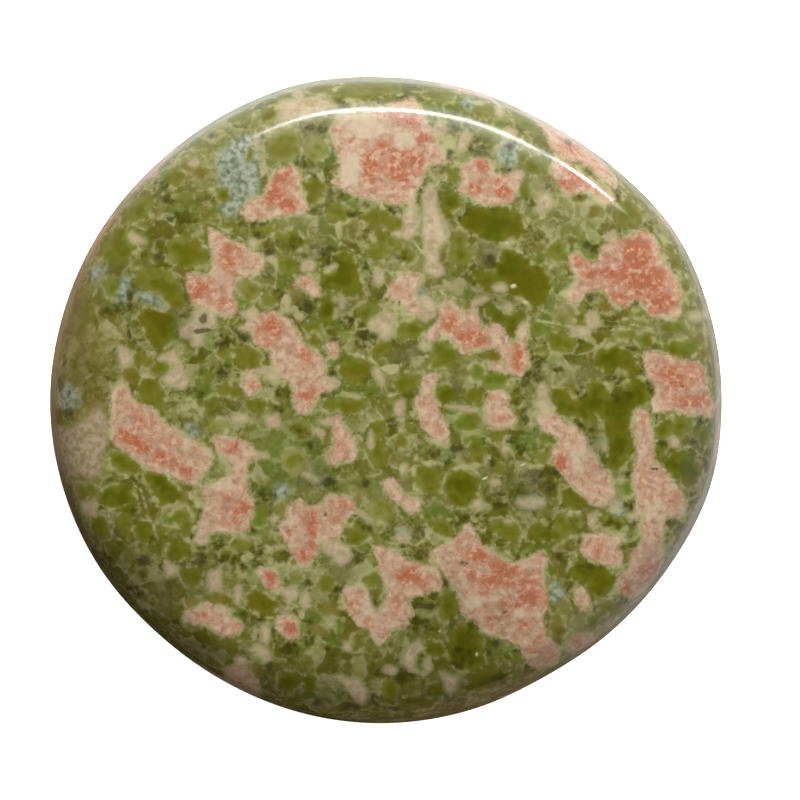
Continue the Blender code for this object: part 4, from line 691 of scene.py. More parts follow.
# Small bright dots: partly pale flecks in the stone, partly painted glints where the polish would catch a
# lamp
PALE_DOTS_AND_GLINTS = (
    (8.15, -3.85, 0.08, 0.08, 2.2), (5.9, -4.65, 0.08, 0.08, 2.2), (7.6, 6.8, 0.2, 0.14, 1.1),
    (9.0, 7.1, 0.08, 0.08, 0.9), (7.2, 9.35, 0.2, 0.1, 1.0), (7.35, -7.2, 0.15, 0.14, 0.9),
    (3.2, -13.8, 0.2, 0.14, 0.8), (12.8, 3.4, 0.1, 0.1, 0.8), (-11.7, 9.5, 0.1, 0.1, 0.8),
    (8.3, 5.8, 0.25, 0.12, 0.8), (7.0, 5.7, 0.3, 0.15, 0.5), (8.1, 8.7, 0.15, 0.15, 0.7),
    (0.95, -4.1, 0.2, 0.3, 0.9), (-16.8, 1.8, 0.2, 0.12, 0.8), (1.5, -1.35, 0.2, 0.1, 0.8),
    (5.1, -6.95, 0.1, 0.2, 0.7), (5.8, -7.7, 0.2, 0.15, 0.7), (13.5, -11.8, 0.35, 0.12, 0.8),
    (5.4, -15.1, 0.1, 0.2, 0.8), (-2.8, -16.4, 0.4, 0.15, 0.7), (-4.8, -16.3, 0.12, 0.25, 0.6),
    (6.9, -15.7, 0.3, 0.12, 0.6), (-12.9, -4.75, 0.12, 0.12, 0.7), (-15.2, -4.8, 0.15, 0.12, 0.8),
    (12.3, -7.3, 0.15, 0.25, 0.8), (14.7, 4.5, 0.35, 0.1, 0.8), (9.3, 5.3, 0.3, 0.08, 0.8),
)
CREAM_PATCHES = (
    (-2.1, 13.8, 0.6, 1.2, 1.0), (1.2, 15.5, 0.7, 0.6, 0.9), (-1.0, 16.1, 0.9, 0.5, 0.9),
    (5.2, -12.1, 0.5, 0.5, 0.8), (8.0, -12.7, 0.6, 0.3, 0.7), (-10.0, -5.0, 0.8, 0.5, 0.5),
    (11.0, 7.3, 0.5, 0.8, 0.8), (-6.0, 2.6, 0.9, 0.5, 0.5), (-1.7, 16.8, 1.1, 0.7, 0.7),
    (0.8, -11.2, 1.1, 0.7, 0.4), (-1.0, -12.3, 0.9, 0.7, 0.6), (11.5, -3.4, 0.8, 1.5, 0.6),
    (16.0, -6.4, 1.0, 1.3, 0.5), (-9.6, -6.0, 0.9, 0.9, 0.3), (7.0, -11.8, 1.3, 0.6, 0.3),
)
GREEN_ZONES = (
    (-5.8, -3.0, 2.0, 2.0, 1.1), (5.0, -1.4, 1.2, 1.0, 0.7), (8.9, -2.3, 0.8, 0.6, 0.8),
    (15.5, 3.7, 1.0, 0.6, 0.6), (-16.3, 7.0, 1.0, 1.2, 0.6), (-10.5, 1.0, 1.5, 1.2, 0.4),
    (3.6, -3.1, 0.8, 0.4, 0.7), (9.5, 4.4, 0.8, 0.5, 0.4), (-7.5, -7.3, 0.6, 0.8, 0.6),
)
GREY_ZONES = (
    (-4.3, -5.0, 0.8, 0.5, 0.7), (1.3, 2.7, 0.9, 0.5, 0.8), (6.2, 8.7, 0.6, 0.8, 0.6),
    (-3.5, -9.0, 0.5, 0.4, 0.8), (-4.0, 9.0, 0.8, 0.5, 0.6), (9.0, 1.0, 0.8, 0.8, 0.5),
    (-13.2, -11.2, 0.5, 0.6, 0.6), (6.4, -4.2, 0.9, 0.6, 0.6), (-16.9, 7.3, 0.6, 0.6, 0.6),
    (4.2, 1.2, 0.7, 0.8, 0.4), (-9.0, -1.0, 0.6, 0.5, 0.5), (17.3, 4.3, 0.9, 0.4, 0.5),
    (12.0, 1.5, 1.3, 0.6, 0.5), (-6.9, -5.2, 0.9, 0.6, 0.5), (-2.5, -10.3, 1.0, 0.5, 0.7),
)
TAN_ZONES = (
    (-18.0, 3.6, 1.5, 2.6, 0.8), (-18.2, -2.6, 1.3, 1.8, 0.5), (-17.2, -0.4, 0.8, 0.8, 0.6),
    (-18.6, 7.2, 0.5, 1.6, 0.5), (-17.7, -6.0, 0.9, 0.9, 0.7),
)
# Paler patches: some are paler ground, and those towards the far side are a painted sheen, the pale walls
# mirrored in the far shoulder
PALE_ZONES_AND_PAINTED_SHEEN = (
    (-5.0, 16.5, 3.2, 1.2, 0.7), (-10.5, 13.6, 2.0, 1.5, 0.6), (8.8, 13.8, 1.8, 1.5, 0.7),
    (-5.0, 11.0, 1.6, 1.3, 0.5), (4.0, 15.0, 1.5, 0.9, 0.5), (1.4, 8.0, 1.3, 1.3, 0.8),
    (16.6, 4.5, 1.2, 0.9, 0.8), (11.6, -13.6, 1.5, 1.2, 0.9), (0.5, -5.3, 2.8, 1.1, 0.4),
    (-17.6, -5.6, 1.0, 1.9, 0.5), (11.6, 11.4, 1.6, 1.4, 0.6), (10.5, 5.5, 1.0, 0.9, 0.5),
    (3.8, 2.2, 1.5, 1.5, 0.3), (-2.4, -9.8, 1.2, 0.9, 0.5), (11.0, 1.4, 1.5, 0.7, 0.4),
    (-8.0, 7.0, 1.3, 0.9, 0.4), (9.6, 12.2, 1.2, 1.1, 0.4), (4.6, 14.2, 1.2, 0.9, 0.3),
    (3.6, -5.4, 1.2, 0.9, 0.25),
)
# Darker patches: some are darker ground, and those along the near rim and the near left are painted shade,
# where the side turned from the light falls dark
DARK_ZONES_AND_PAINTED_SHADE = (
    (5.6, 7.4, 1.9, 2.2, 0.35), (-12.0, 4.2, 1.3, 1.0, 0.5), (-14.8, 6.8, 2.2, 1.8, 0.35),
    (-2.8, 5.6, 1.8, 0.8, 0.45), (-4.3, -4.2, 1.3, 1.1, 0.4), (7.8, -6.0, 2.4, 1.1, 0.3),
    (12.6, -3.0, 1.1, 1.5, 0.5), (18.6, -2.5, 1.0, 2.6, 0.45), (-11.4, -10.8, 1.5, 1.8, 0.5),
    (5.0, -12.6, 3.2, 1.6, 0.35), (2.8, 11.5, 1.0, 1.0, 0.25), (12.0, -9.8, 1.3, 1.0, 0.2),
    (3.0, -16.0, 4.0, 2.0, 0.65), (-5.0, -16.6, 3.2, 1.5, 0.6), (-14.5, -11.0, 2.0, 2.2, 0.45),
    (-16.2, -8.3, 1.6, 1.8, 0.4), (-11.0, -15.0, 2.0, 1.0, 0.5), (8.4, -4.9, 1.4, 0.8, 0.4),
    (-17.5, 1.4, 1.2, 1.0, 0.25), (3.8, -10.6, 0.8, 1.5, 0.35), (7.0, 4.8, 1.3, 1.2, 0.25),
    (-18.9, 4.0, 0.8, 2.6, 0.3), (8.0, -13.6, 1.6, 1.2, 0.15), (-0.6, -12.4, 1.4, 1.2, 0.12),
)

# Hairline cracks filled with pale quartz, as points along each crack
VEINS = (
    ((-10.3, 10.5), (-9.2, 9.9), (-8.6, 9.6)),
    ((-3.2, 9.7), (-2.0, 8.9), (-1.3, 8.3), (-0.5, 7.8), (0.4, 7.6), (1.9, 7.55), (2.6, 7.3)),
    ((3.0, 6.6), (3.6, 6.2), (4.3, 6.0)),
    ((-15.5, -4.5), (-15.0, -5.0), (-14.6, -5.4), (-14.3, -6.4), (-14.2, -6.9), (-13.9, -7.3),
     (-13.6, -8.2)),
    ((-16.9, -6.3), (-16.1, -6.5), (-15.4, -6.2)),
    ((-16.5, -6.9), (-16.3, -7.6), (-16.3, -8.0), (-15.9, -8.3), (-15.3, -8.8)),
    ((8.5, 4.8), (9.9, 4.6), (11.0, 4.4)),
    ((13.5, 4.2), (14.8, 4.5), (15.6, 4.3)),
    ((17.3, -2.7), (18.2, -2.8), (18.8, -3.3), (19.2, -3.5)),
    ((-1.6, 2.7), (-0.9, 2.4), (-0.3, 1.9)),
    ((-1.5, 4.2), (-1.0, 4.3), (-0.6, 4.2)),
    ((-14.3, 1.7), (-14.9, 0.6), (-15.1, 0.0)),
    ((16.0, -1.6), (16.6, -1.1), (17.0, -0.9)),
    ((-3.8, 7.8), (-3.4, 7.7), (-3.1, 7.9)),
    ((1.3, -8.6), (1.9, -8.6), (2.3, -8.3), (2.7, -7.7)),
    ((1.8, -2.7), (1.9, -3.3), (1.6, -3.9)),
    ((16.0, -2.45), (16.6, -2.4), (17.1, -2.3)),
    ((10.5, -6.6), (11.4, -6.7), (12.0, -6.5)),
)

# How far from a crystal its distance is still measured, in millimetres
MEASURED = 1.5

# Below this height the face that the photograph shows gives way to crystals of its own, with their
# middles between these heights and within this radius
BURIED_Z = 2.9
BURIED_LOW = -0.5
BURIED_HIGH = 2.6
BURIED_REACH = 20.3

# A crystal leans by up to so much for each millimetre below the dome, and ends no lower than this
LEAN_FROM_Z = 4.0
MOST_LEAN = 0.6
LOWEST_END = 0.3

# A soft patch fades outwards by this, and down the side between these heights
PATCH_FALL = 0.7
PATCH_END_Z = 1.5
PATCH_FULL_Z = 3.0


def outline_distance(places, outline):
    """Signed distance in millimetres from each place to a closed outline, negative inside."""
    corners = np.array(outline, dtype=float)
    nearest = np.full(len(places), np.inf)
    inside = np.zeros(len(places), dtype=bool)
    for start, end in zip(corners, np.roll(corners, -1, axis=0)):
        edge = end - start
        offset = places - start
        share = np.clip(offset @ edge / (edge @ edge), 0.0, 1.0)
        nearest = np.minimum(nearest, ((offset - share[:, None] * edge) ** 2).sum(axis=1))
        crosses = (start[1] > places[:, 1]) != (end[1] > places[:, 1])
        slope = edge[0] / edge[1] if edge[1] else 0.0
        inside ^= crosses & (places[:, 0] < start[0] + (places[:, 1] - start[1]) * slope)
    return np.sqrt(nearest) * np.where(inside, -1.0, 1.0)


def crystal_field(places, outlines, seed):
    """Distance to the nearest of these crystals, each a leaning column that ends at its own depth."""
    rng = random.Random(seed)
    field = np.full(len(places), MEASURED)
    depth = np.clip(LEAN_FROM_Z - places[:, 2], 0.0, None)
    for outline in outlines:
        lean = np.array((rng.uniform(-MOST_LEAN, MOST_LEAN), rng.uniform(-MOST_LEAN, MOST_LEAN)))
        bottom = rng.uniform(LOWEST_END, BURIED_Z)
        across = places[:, :2] - lean * depth[:, None]
        low = np.min(outline, axis=0) - MEASURED
        high = np.max(outline, axis=0) + MEASURED
        near = np.flatnonzero(np.all((across > low) & (across < high), axis=1))
        distance = np.maximum(outline_distance(across[near], outline), bottom - places[near, 2])
        field[near] = np.minimum(field[near], distance)
    return field


def chip_outlines(chips):
    """Each chip's outline, with eight corners."""
    outlines = []
    for x, y, half_length, half_width, *degrees in chips:
        turn = math.radians(sum(degrees))
        corners = []
        for k in range(8):
            along = half_length * math.cos(math.pi * k / 4.0)
            across = half_width * math.sin(math.pi * k / 4.0)
            corners.append((
                x + along * math.cos(turn) - across * math.sin(turn),
                y + along * math.sin(turn) + across * math.cos(turn),
            ))
        outlines.append(corners)
    return outlines


def buried_field(places, count, smallest, largest, seed):
    """Distance to the nearest of some crystals in the lower side and the back, which no photograph shows."""
    rng = random.Random(seed)
    field = np.full(len(places), MEASURED)
    low = np.flatnonzero(places[:, 2] < BURIED_Z + MEASURED)
    for _ in range(count):
        reach = BURIED_REACH * math.sqrt(rng.random())
        angle = rng.uniform(0.0, 2.0 * math.pi)
        height = rng.uniform(BURIED_LOW, BURIED_HIGH)
        centre = np.array((reach * math.cos(angle), reach * math.sin(angle), height))
        length = rng.uniform(smallest, largest)
        half = np.array((length, length * rng.uniform(0.4, 0.9), length * rng.uniform(0.6, 1.0)))
        turn = rng.uniform(0.0, math.pi)
        cosine, sine = math.cos(turn), math.sin(turn)
        offset = places[low] - centre
        along = np.stack((
            cosine * offset[:, 0] + sine * offset[:, 1],
            cosine * offset[:, 1] - sine * offset[:, 0],
            offset[:, 2],
        ), axis=1)
        blocky = ((along / half) ** 4).sum(axis=1) ** 0.25
        distance = (blocky - 1.0) * half.min()
        distance = np.maximum(distance, places[low, 2] - BURIED_Z)
        field[low] = np.minimum(field[low], distance)
    return field


def patch_field(places, patches):
    """How strongly the soft patches cover each place, fading out down the side."""
    field = np.zeros(len(places))
    for x, y, half_x, half_y, strength in patches:
        spread = ((places[:, 0] - x) / half_x) ** 2 + ((places[:, 1] - y) / half_y) ** 2
        field += strength * np.exp(-PATCH_FALL * spread)
    fade = (places[:, 2] - PATCH_END_Z) / (PATCH_FULL_Z - PATCH_END_Z)
    return field * np.clip(fade, 0.0, 1.0)


def vein_fields(places):
    """The distance to the nearest crack, and the same with a sign for the side of the crack."""
    nearest = np.full(len(places), MEASURED)
    side = np.full(len(places), MEASURED)
    for vein in VEINS:
        for start, end in zip(vein, vein[1:]):
            start, end = np.array(start), np.array(end)
            edge = end - start
            offset = places[:, :2] - start
            share = np.clip(offset @ edge / (edge @ edge), 0.0, 1.0)
            distance = np.sqrt(((offset - share[:, None] * edge) ** 2).sum(axis=1))
            turned = np.sign(edge[0] * offset[:, 1] - edge[1] * offset[:, 0])
            closer = distance < nearest
            nearest = np.where(closer, distance, nearest)
            side = np.where(closer, distance * turned, side)
    return nearest, side


def write_fields(mesh):
    """Keeps the pattern on the mesh as one number per point and mineral, for the material to read."""
    corners = np.empty(len(mesh.vertices) * 3)
    mesh.vertices.foreach_get("co", corners)
    places = corners.reshape(-1, 3) / MM
    vein_reach, vein_side = vein_fields(places)
    grown = {
        "salmon": (SALMON, (), 95, 0.5, 2.0),
        "cream": (CREAM, CREAM_CHIPS, 50, 0.3, 0.9),
        "tan": (TAN, (), 0, 0.0, 0.0),
        "dark_epidote": (DARK_EPIDOTE, (), 110, 0.5, 1.5),
        "olive_epidote": (OLIVE_EPIDOTE, OLIVE_CHIPS, 150, 0.4, 1.2),
        "pale_epidote": (PALE_EPIDOTE, (), 50, 0.4, 0.9),
        "leaf_epidote": ((), LEAF_CHIPS, 60, 0.4, 0.9),
        "golden_epidote": (GOLDEN_EPIDOTE, (), 0, 0.0, 0.0),
        "grey_quartz": (GREY_QUARTZ, (), 40, 0.3, 0.9),
        "dark_chip": ((), DARK_CHIPS, 200, 0.25, 0.6),
    }
    fields = {}
    for seed, (name, (outlines, chips, buried, smallest, largest)) in enumerate(grown.items()):
        seen_above = crystal_field(places, list(outlines) + chip_outlines(chips), seed + 1)
        hidden = buried_field(places, buried, smallest, largest, seed + 11)
        fields[name] = np.minimum(seen_above, hidden)
    fields.update({
        "brick_stain": patch_field(places, BRICK_STAINS),
        "dark_speck": patch_field(places, DARK_SPECKS),
        "pale_dot_and_glint": patch_field(places, PALE_DOTS_AND_GLINTS),
        "green_zone": patch_field(places, GREEN_ZONES),
        "grey_zone": patch_field(places, GREY_ZONES),
        "tan_zone": patch_field(places, TAN_ZONES),
        "cream_patch": patch_field(places, CREAM_PATCHES),
        "pale_and_sheen_zone": patch_field(places, PALE_ZONES_AND_PAINTED_SHEEN),
        "dark_and_shaded_zone": patch_field(places, DARK_ZONES_AND_PAINTED_SHADE),
        "vein_reach": vein_reach,
        "vein_side": vein_side,
    })
    for name, values in fields.items():
        mesh.attributes.new(name, "FLOAT", "POINT").data.foreach_set("value", values)


# The light on a level white card, where 1 shows as white. Colours are given as they look under it.
CARD_LIGHT = 1.3


def seen(red, green, blue):
    """The surface colour that looks like these screen values, from 0 to 255, under the scene's light."""
    shares = [value / 255.0 for value in (red, green, blue)]
    light = [s / 12.92 if s <= 0.04045 else ((s + 0.055) / 1.055) ** 2.4 for s in shares]
    return tuple(value / CARD_LIGHT for value in light) + (1.0,)


class Graph:
    """Adds and joins the nodes of one material. Each method gives back the new node's output."""

    def __init__(self, material):
        self.nodes = material.node_tree.nodes
        self.links = material.node_tree.links

    def add(self, kind, inputs, output=0, **settings):
        node = self.nodes.new(kind)
        for name, value in settings.items():
            setattr(node, name, value)
        for key, value in inputs.items():
            if isinstance(value, bpy.types.NodeSocket):
                self.links.new(value, node.inputs[key])
            else:
                node.inputs[key].default_value = value
        return node.outputs[output]

    def field(self, name):
        return self.add("ShaderNodeAttribute", {}, "Fac", attribute_name=name)

    def sum(self, first, second):
        return self.add("ShaderNodeMath", {0: first, 1: second}, operation="ADD")

    def times(self, first, second):
        return self.add("ShaderNodeMath", {0: first, 1: second}, operation="MULTIPLY")

    def most(self, first, second):
        return self.add("ShaderNodeMath", {0: first, 1: second}, operation="MAXIMUM")

    def size(self, value):
        return self.add("ShaderNodeMath", {0: value}, operation="ABSOLUTE")

    def ramp(self, value, start, end, low=0.0, high=1.0):
        """Runs smoothly from low, where value is at start, to high, where it is at end."""
        inputs = {0: value, 1: start, 2: end, 3: low, 4: high}
        return self.add("ShaderNodeMapRange", inputs, interpolation_type="SMOOTHSTEP")

    def noise(self, place, scale, detail=2.0, roughness=0.5, output="Fac"):
        inputs = {"Vector": place, "Scale": scale, "Detail": detail, "Roughness": roughness}
        return self.add("ShaderNodeTexNoise", inputs, output)

    def cells(self, place, scale, feature="F1", output="Distance"):
        return self.add("ShaderNodeTexVoronoi", {"Vector": place, "Scale": scale}, output, feature=feature)

    def blend(self, share, first, second, kind="MIX"):
        return self.add(
            "ShaderNodeMix", {0: share, 6: first, 7: second}, 2, data_type="RGBA", blend_type=kind,
        )

    def shift(self, place, by, amount):
        """Moves a place by a colour noise, which bends the pattern that is read there."""
        centred = self.add("ShaderNodeVectorMath", {0: by, 1: (0.5, 0.5, 0.5)}, operation="SUBTRACT")
        scaled = self.add("ShaderNodeVectorMath", {0: centred, "Scale": amount}, operation="SCALE")
        return self.add("ShaderNodeVectorMath", {0: place, 1: scaled}, operation="ADD")


# How many grains of each kind there are in a millimetre, and how deep the polish leaves the soft ones
GRAINS_PER_MM = 0.80
CRUSHED_PER_MM = 2.0
HAIRLINES_PER_MM = 1.6
GRIT_PER_MM = 2.4
CLEAVAGES_PER_MM = 1.7
CLEAVAGE_TURN = math.radians(35.0)
POLISH_RELIEF = 0.012 * MM
SEAM_COLOUR = seen(176, 171, 122)


def unakite_material():
    material = bpy.data.materials.new("polished_unakite")
    material.use_nodes = True
    graph = Graph(material)
    shader = graph.nodes["Principled BSDF"]

    place = graph.add("ShaderNodeTexCoord", {}, "Object")
    place = graph.add("ShaderNodeVectorMath", {0: place, "Scale": 1.0 / MM}, operation="SCALE")
    broad = graph.noise(place, 0.42, 2.0)
    middling = graph.noise(place, 1.3, 1.5, 0.5)
    fine = graph.ramp(graph.noise(place, 2.8, 1.5, 0.5), -0.5, 1.5)
    dust = graph.noise(place, 10.0, 2.0, 0.6)
    bend = graph.noise(place, 0.8, 0.5, 0.4, "Color")
    bent = graph.shift(place, bend, 1.5)

    # Groundmass: epidote grains of 0.5 to 2 mm packed together, with soft pale seams here and there
    seam_reach = graph.cells(bent, GRAINS_PER_MM, "DISTANCE_TO_EDGE")
    grain = graph.cells(bent, GRAINS_PER_MM, "F1", "Color")
    grain_tone = graph.add("ShaderNodeSeparateColor", {0: grain}, 0)
    grain_hue = graph.add("ShaderNodeSeparateColor", {0: grain}, 1)
    tone = graph.sum(graph.times(grain_tone, 0.60), graph.times(middling, 0.80))
    tone = graph.sum(tone, graph.times(fine, 0.35))
    colour = graph.blend(graph.ramp(tone, 0.58, 0.86), seen(90, 91, 16), seen(112, 112, 40))
    colour = graph.blend(graph.ramp(tone, 0.82, 1.06), colour, seen(136, 135, 72))
    colour = graph.blend(graph.ramp(tone, 1.00, 1.18), colour, seen(174, 169, 118))
    colour = graph.blend(graph.ramp(grain_hue, 0.60, 0.85, 0.0, 0.5), colour, seen(104, 119, 44))
    colour = graph.blend(graph.ramp(grain_hue, 0.30, 0.15, 0.0, 0.4), colour, seen(116, 104, 44))

    # Crushed ground: the same minerals broken to 0.2 to 0.5 mm, in patches
    crushed = graph.cells(bent, CRUSHED_PER_MM, "F1", "Color")
    crushed_tone = graph.add("ShaderNodeSeparateColor", {0: crushed}, 0)
    crushed_tone = graph.sum(graph.times(crushed_tone, 0.7), graph.times(fine, 0.7))
    small = graph.blend(graph.ramp(crushed_tone, 0.35, 0.75), seen(88, 88, 22), seen(124, 122, 60))
    small = graph.blend(graph.ramp(crushed_tone, 0.80, 1.05), small, seen(162, 156, 104))
    colour = graph.blend(graph.ramp(broad, 0.48, 0.56, 0.0, 0.55), colour, small)
    hair_reach = graph.cells(bent, HAIRLINES_PER_MM, "DISTANCE_TO_EDGE")
    hair = graph.times(graph.ramp(hair_reach, 0.11, 0.0), graph.ramp(graph.sum(fine, broad), 0.92, 1.15))
    colour = graph.blend(graph.times(hair, 0.32), colour, seen(162, 158, 108))
    seam = graph.times(graph.ramp(seam_reach, 0.13, 0.0), graph.ramp(graph.sum(fine, middling), 0.92, 1.15))
    colour = graph.blend(graph.times(seam, 0.48), colour, SEAM_COLOUR)
    # Paler patches: partly paler ground, partly a painted sheen towards the far side
    colour = graph.blend(graph.times(graph.field("pale_and_sheen_zone"), 0.40), colour, SEAM_COLOUR)
    colour = graph.blend(graph.times(graph.field("green_zone"), 0.60), colour, seen(102, 120, 50))
    colour = graph.blend(graph.times(graph.field("grey_zone"), 0.60), colour, seen(114, 112, 76))
    colour = graph.blend(graph.times(graph.field("tan_zone"), 0.75), colour, seen(130, 112, 60))
    # Darker patches: partly darker ground, partly painted shade along the near rim
    colour = graph.blend(graph.times(graph.field("dark_and_shaded_zone"), 0.70), colour, seen(84, 82, 16))

    # Each crystal's edge wanders a little
    soft_wander = graph.sum(graph.times(middling, 0.60), graph.times(fine, 0.20))
    soft_wander = graph.sum(soft_wander, -0.40)
    ragged_wander = graph.sum(graph.times(middling, 0.70), graph.times(fine, 0.50))
    ragged_wander = graph.sum(ragged_wander, -0.60)

    def crystal(name, wander):
        return graph.sum(graph.field(name), wander)

    def paint(distance, softness, body, rim, rim_share, under):
        """Lays a mineral over what is under it, with a pale reaction rim that comes and goes."""
        edge = graph.ramp(graph.size(graph.sum(distance, -0.10)), 0.10 + 0.7 * softness, 0.0)
        broken = graph.ramp(graph.sum(fine, middling), 0.90, 1.14)
        below = graph.blend(graph.times(graph.times(edge, broken), rim_share), under, rim)
        return graph.blend(graph.ramp(distance, softness, -softness), below, body)

    grey = crystal("grey_quartz", ragged_wander)
    quartz_body = graph.blend(graph.ramp(fine, 0.36, 0.62), seen(118, 125, 94), seen(162, 170, 146))
    colour = paint(grey, 0.25, quartz_body, seen(150, 150, 112), 0.3, colour)

    # Epidote: translucent, so a grain is deepest in colour in its middle
    warm = graph.ramp(broad, 0.46, 0.60, 0.0, 0.35)
    for name, deep, shallow, rim in (
        ("pale_epidote", seen(120, 124, 42), seen(146, 146, 84), seen(172, 170, 120)),
        ("leaf_epidote", seen(102, 112, 26), seen(122, 130, 56), seen(168, 168, 112)),
        ("golden_epidote", seen(112, 101, 24), seen(132, 123, 62), seen(168, 160, 112)),
        ("olive_epidote", seen(100, 104, 14), seen(124, 126, 50), seen(174, 170, 116)),
        ("dark_epidote", seen(86, 90, 6), seen(110, 113, 30), seen(170, 166, 110)),
    ):
        distance = crystal(name, soft_wander)
        depth = graph.ramp(graph.sum(distance, graph.times(graph.sum(middling, -0.5), 1.6)), -0.8, 0.15)
        body = graph.blend(depth, deep, shallow)
        body = graph.blend(warm, body, seen(112, 98, 16))
        colour = paint(distance, 0.17, body, rim, 0.52, colour)
    dark_chip = graph.ramp(crystal("dark_chip", soft_wander), 0.16, -0.16)
    dark_chip = graph.times(dark_chip, graph.ramp(fine, 0.34, 0.62, 0.80, 0.25))
    colour = graph.blend(dark_chip, colour, seen(62, 62, 14))

    # Feldspar: salmon, cream at its edges, cracked, with brick-red iron stain between the cracks
    tan = crystal("tan", ragged_wander)
    tan_body = graph.blend(graph.ramp(fine, 0.35, 0.65), seen(154, 133, 98), seen(176, 158, 128))
    colour = paint(tan, 0.30, tan_body, seen(158, 146, 106), 0.3, colour)
    cream = crystal("cream", ragged_wander)
    cream_tone = graph.ramp(graph.sum(fine, middling), 0.75, 1.25)
    cream_body = graph.blend(cream_tone, seen(172, 154, 118), seen(200, 181, 146))
    cream_body = graph.blend(graph.ramp(cream, -0.40, 0.05, 0.0, 0.6), cream_body, seen(176, 167, 122))
    colour = paint(cream, 0.17, cream_body, seen(172, 168, 118), 0.5, colour)

    salmon = crystal("salmon", ragged_wander)
    cleaved = {"Vector": bent, "Rotation": (0.0, 0.0, CLEAVAGE_TURN), "Scale": (0.7, 2.2, 1.0)}
    streak = graph.noise(graph.add("ShaderNodeMapping", cleaved), 1.2, 1.5, 0.6)
    grit = graph.cells(bent, GRIT_PER_MM, "F1", "Color")
    grit_tone = graph.add("ShaderNodeSeparateColor", {0: grit}, 0)
    body = graph.blend(graph.ramp(streak, 0.38, 0.64), seen(186, 154, 124), seen(206, 176, 148))
    body = graph.blend(graph.ramp(grit_tone, 0.6, 1.0, 0.0, 0.35), body, seen(174, 144, 114))
    edge_pale = graph.ramp(graph.sum(salmon, graph.times(fine, 0.8)), -0.15, 0.45, 0.0, 0.75)
    body = graph.blend(edge_pale, body, seen(204, 184, 146))
    stain = graph.sum(graph.field("brick_stain"), graph.times(graph.sum(streak, -0.5), 1.3))
    stain = graph.sum(stain, graph.times(graph.sum(fine, -0.5), 0.8))
    stain = graph.sum(stain, graph.times(graph.sum(grit_tone, -0.5), 0.5))
    body = graph.blend(graph.ramp(stain, -0.15, 0.50, 0.0, 0.80), body, seen(192, 136, 106))
    body = graph.blend(graph.ramp(stain, 0.30, 0.95, 0.0, 0.90), body, seen(182, 102, 72))
    crack = graph.ramp(graph.cells(bent, CLEAVAGES_PER_MM, "DISTANCE_TO_EDGE"), 0.11, 0.0)
    crack = graph.times(crack, graph.ramp(fine, 0.42, 0.60))
    crack = graph.times(crack, graph.ramp(stain, 0.2, 0.8, 0.15, 0.48))
    body = graph.blend(crack, body, seen(212, 182, 146))
    mottle = graph.noise(place, 2.4, 1.5, 0.5)
    body = graph.blend(graph.ramp(mottle, 0.52, 0.70, 0.0, 0.6), body, seen(162, 122, 92))
    body = graph.blend(graph.ramp(mottle, 0.48, 0.30, 0.0, 0.6), body, seen(214, 190, 158))
    pits = graph.ramp(graph.noise(place, 6.0, 2.0, 0.6), 0.56, 0.70)
    pits = graph.times(pits, graph.ramp(stain, -0.2, 0.8, 0.20, 0.45))
    body = graph.blend(pits, body, seen(132, 92, 62))
    clear = graph.sum(graph.field("cream_patch"), graph.times(graph.sum(fine, -0.5), 1.2))
    body = graph.blend(graph.ramp(clear, 0.20, 0.75, 0.0, 0.85), body, seen(208, 188, 156))
    colour = paint(salmon, 0.14, body, seen(194, 182, 138), 0.6, colour)

    # Specks of dark hornblende, pale flecks and painted glints, and hairline cracks
    speck = graph.sum(graph.field("dark_speck"), graph.times(graph.sum(fine, -0.5), 2.0))
    speck = graph.ramp(speck, 0.35, 0.95)
    colour = graph.blend(graph.times(speck, 0.75), colour, seen(58, 54, 20))
    bright_dot = graph.sum(graph.field("pale_dot_and_glint"), graph.times(graph.sum(fine, -0.5), 1.2))
    colour = graph.blend(graph.ramp(bright_dot, 0.35, 0.95), colour, seen(198, 196, 144))
    line = graph.sum(graph.field("vein_side"), graph.times(soft_wander, 0.25))
    line = graph.ramp(graph.size(line), 0.14, 0.02)
    line = graph.times(line, graph.ramp(graph.field("vein_reach"), 0.40, 0.20))
    line = graph.times(line, graph.ramp(fine, 0.40, 0.62, 0.1, 0.7))
    colour = graph.blend(line, colour, seen(178, 174, 124))

    shade = graph.sum(graph.times(fine, 0.65), graph.times(dust, 0.35))
    shade = graph.ramp(shade, 0.35, 0.65, 0.94, 1.06)
    # The darker patches also dim every mineral under them, which paints shade along the near rim
    shade = graph.times(shade, graph.ramp(graph.field("dark_and_shaded_zone"), 0.0, 1.0, 1.0, 0.60))
    shade = graph.add("ShaderNodeCombineColor", {0: shade, 1: shade, 2: shade})
    colour = graph.blend(1.0, colour, shade, "MULTIPLY")
    graph.links.new(colour, shader.inputs["Base Color"])

    hard = graph.ramp(crystal("dark_epidote", soft_wander), 0.05, -0.05)
    hard = graph.most(hard, graph.ramp(salmon, 0.05, -0.05))
    roughness = graph.ramp(graph.sum(fine, graph.times(hard, -0.18)), 0.2, 0.7, 0.07, 0.20)
    graph.links.new(roughness, shader.inputs["Roughness"])
    height = graph.sum(graph.times(fine, 0.5), graph.times(hard, 0.35))
    height = graph.sum(height, graph.times(dust, 0.35))
    height = graph.sum(height, graph.times(speck, -0.6))
    bump = graph.add("ShaderNodeBump", {"Height": height, "Strength": 0.6, "Distance": POLISH_RELIEF})
    graph.links.new(bump, shader.inputs["Normal"])
    shader.inputs["IOR"].default_value = 1.6
    return material


stone = bpy.data.objects.new("polished_stone", stone_mesh())
bpy.context.scene.collection.objects.link(stone)
write_fields(stone.data)
stone.data.materials.append(unakite_material())
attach(stone, "root")
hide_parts("cabochon")

# Table
# A plain white table, lit a little from within as a light table is, so that it stays pale all round
# the stone. It is larger than anything that the camera sees.
TABLE_HALF = 1.5
TABLE_DROP = 0.02 * MM
TABLE_GLOW = 0.98

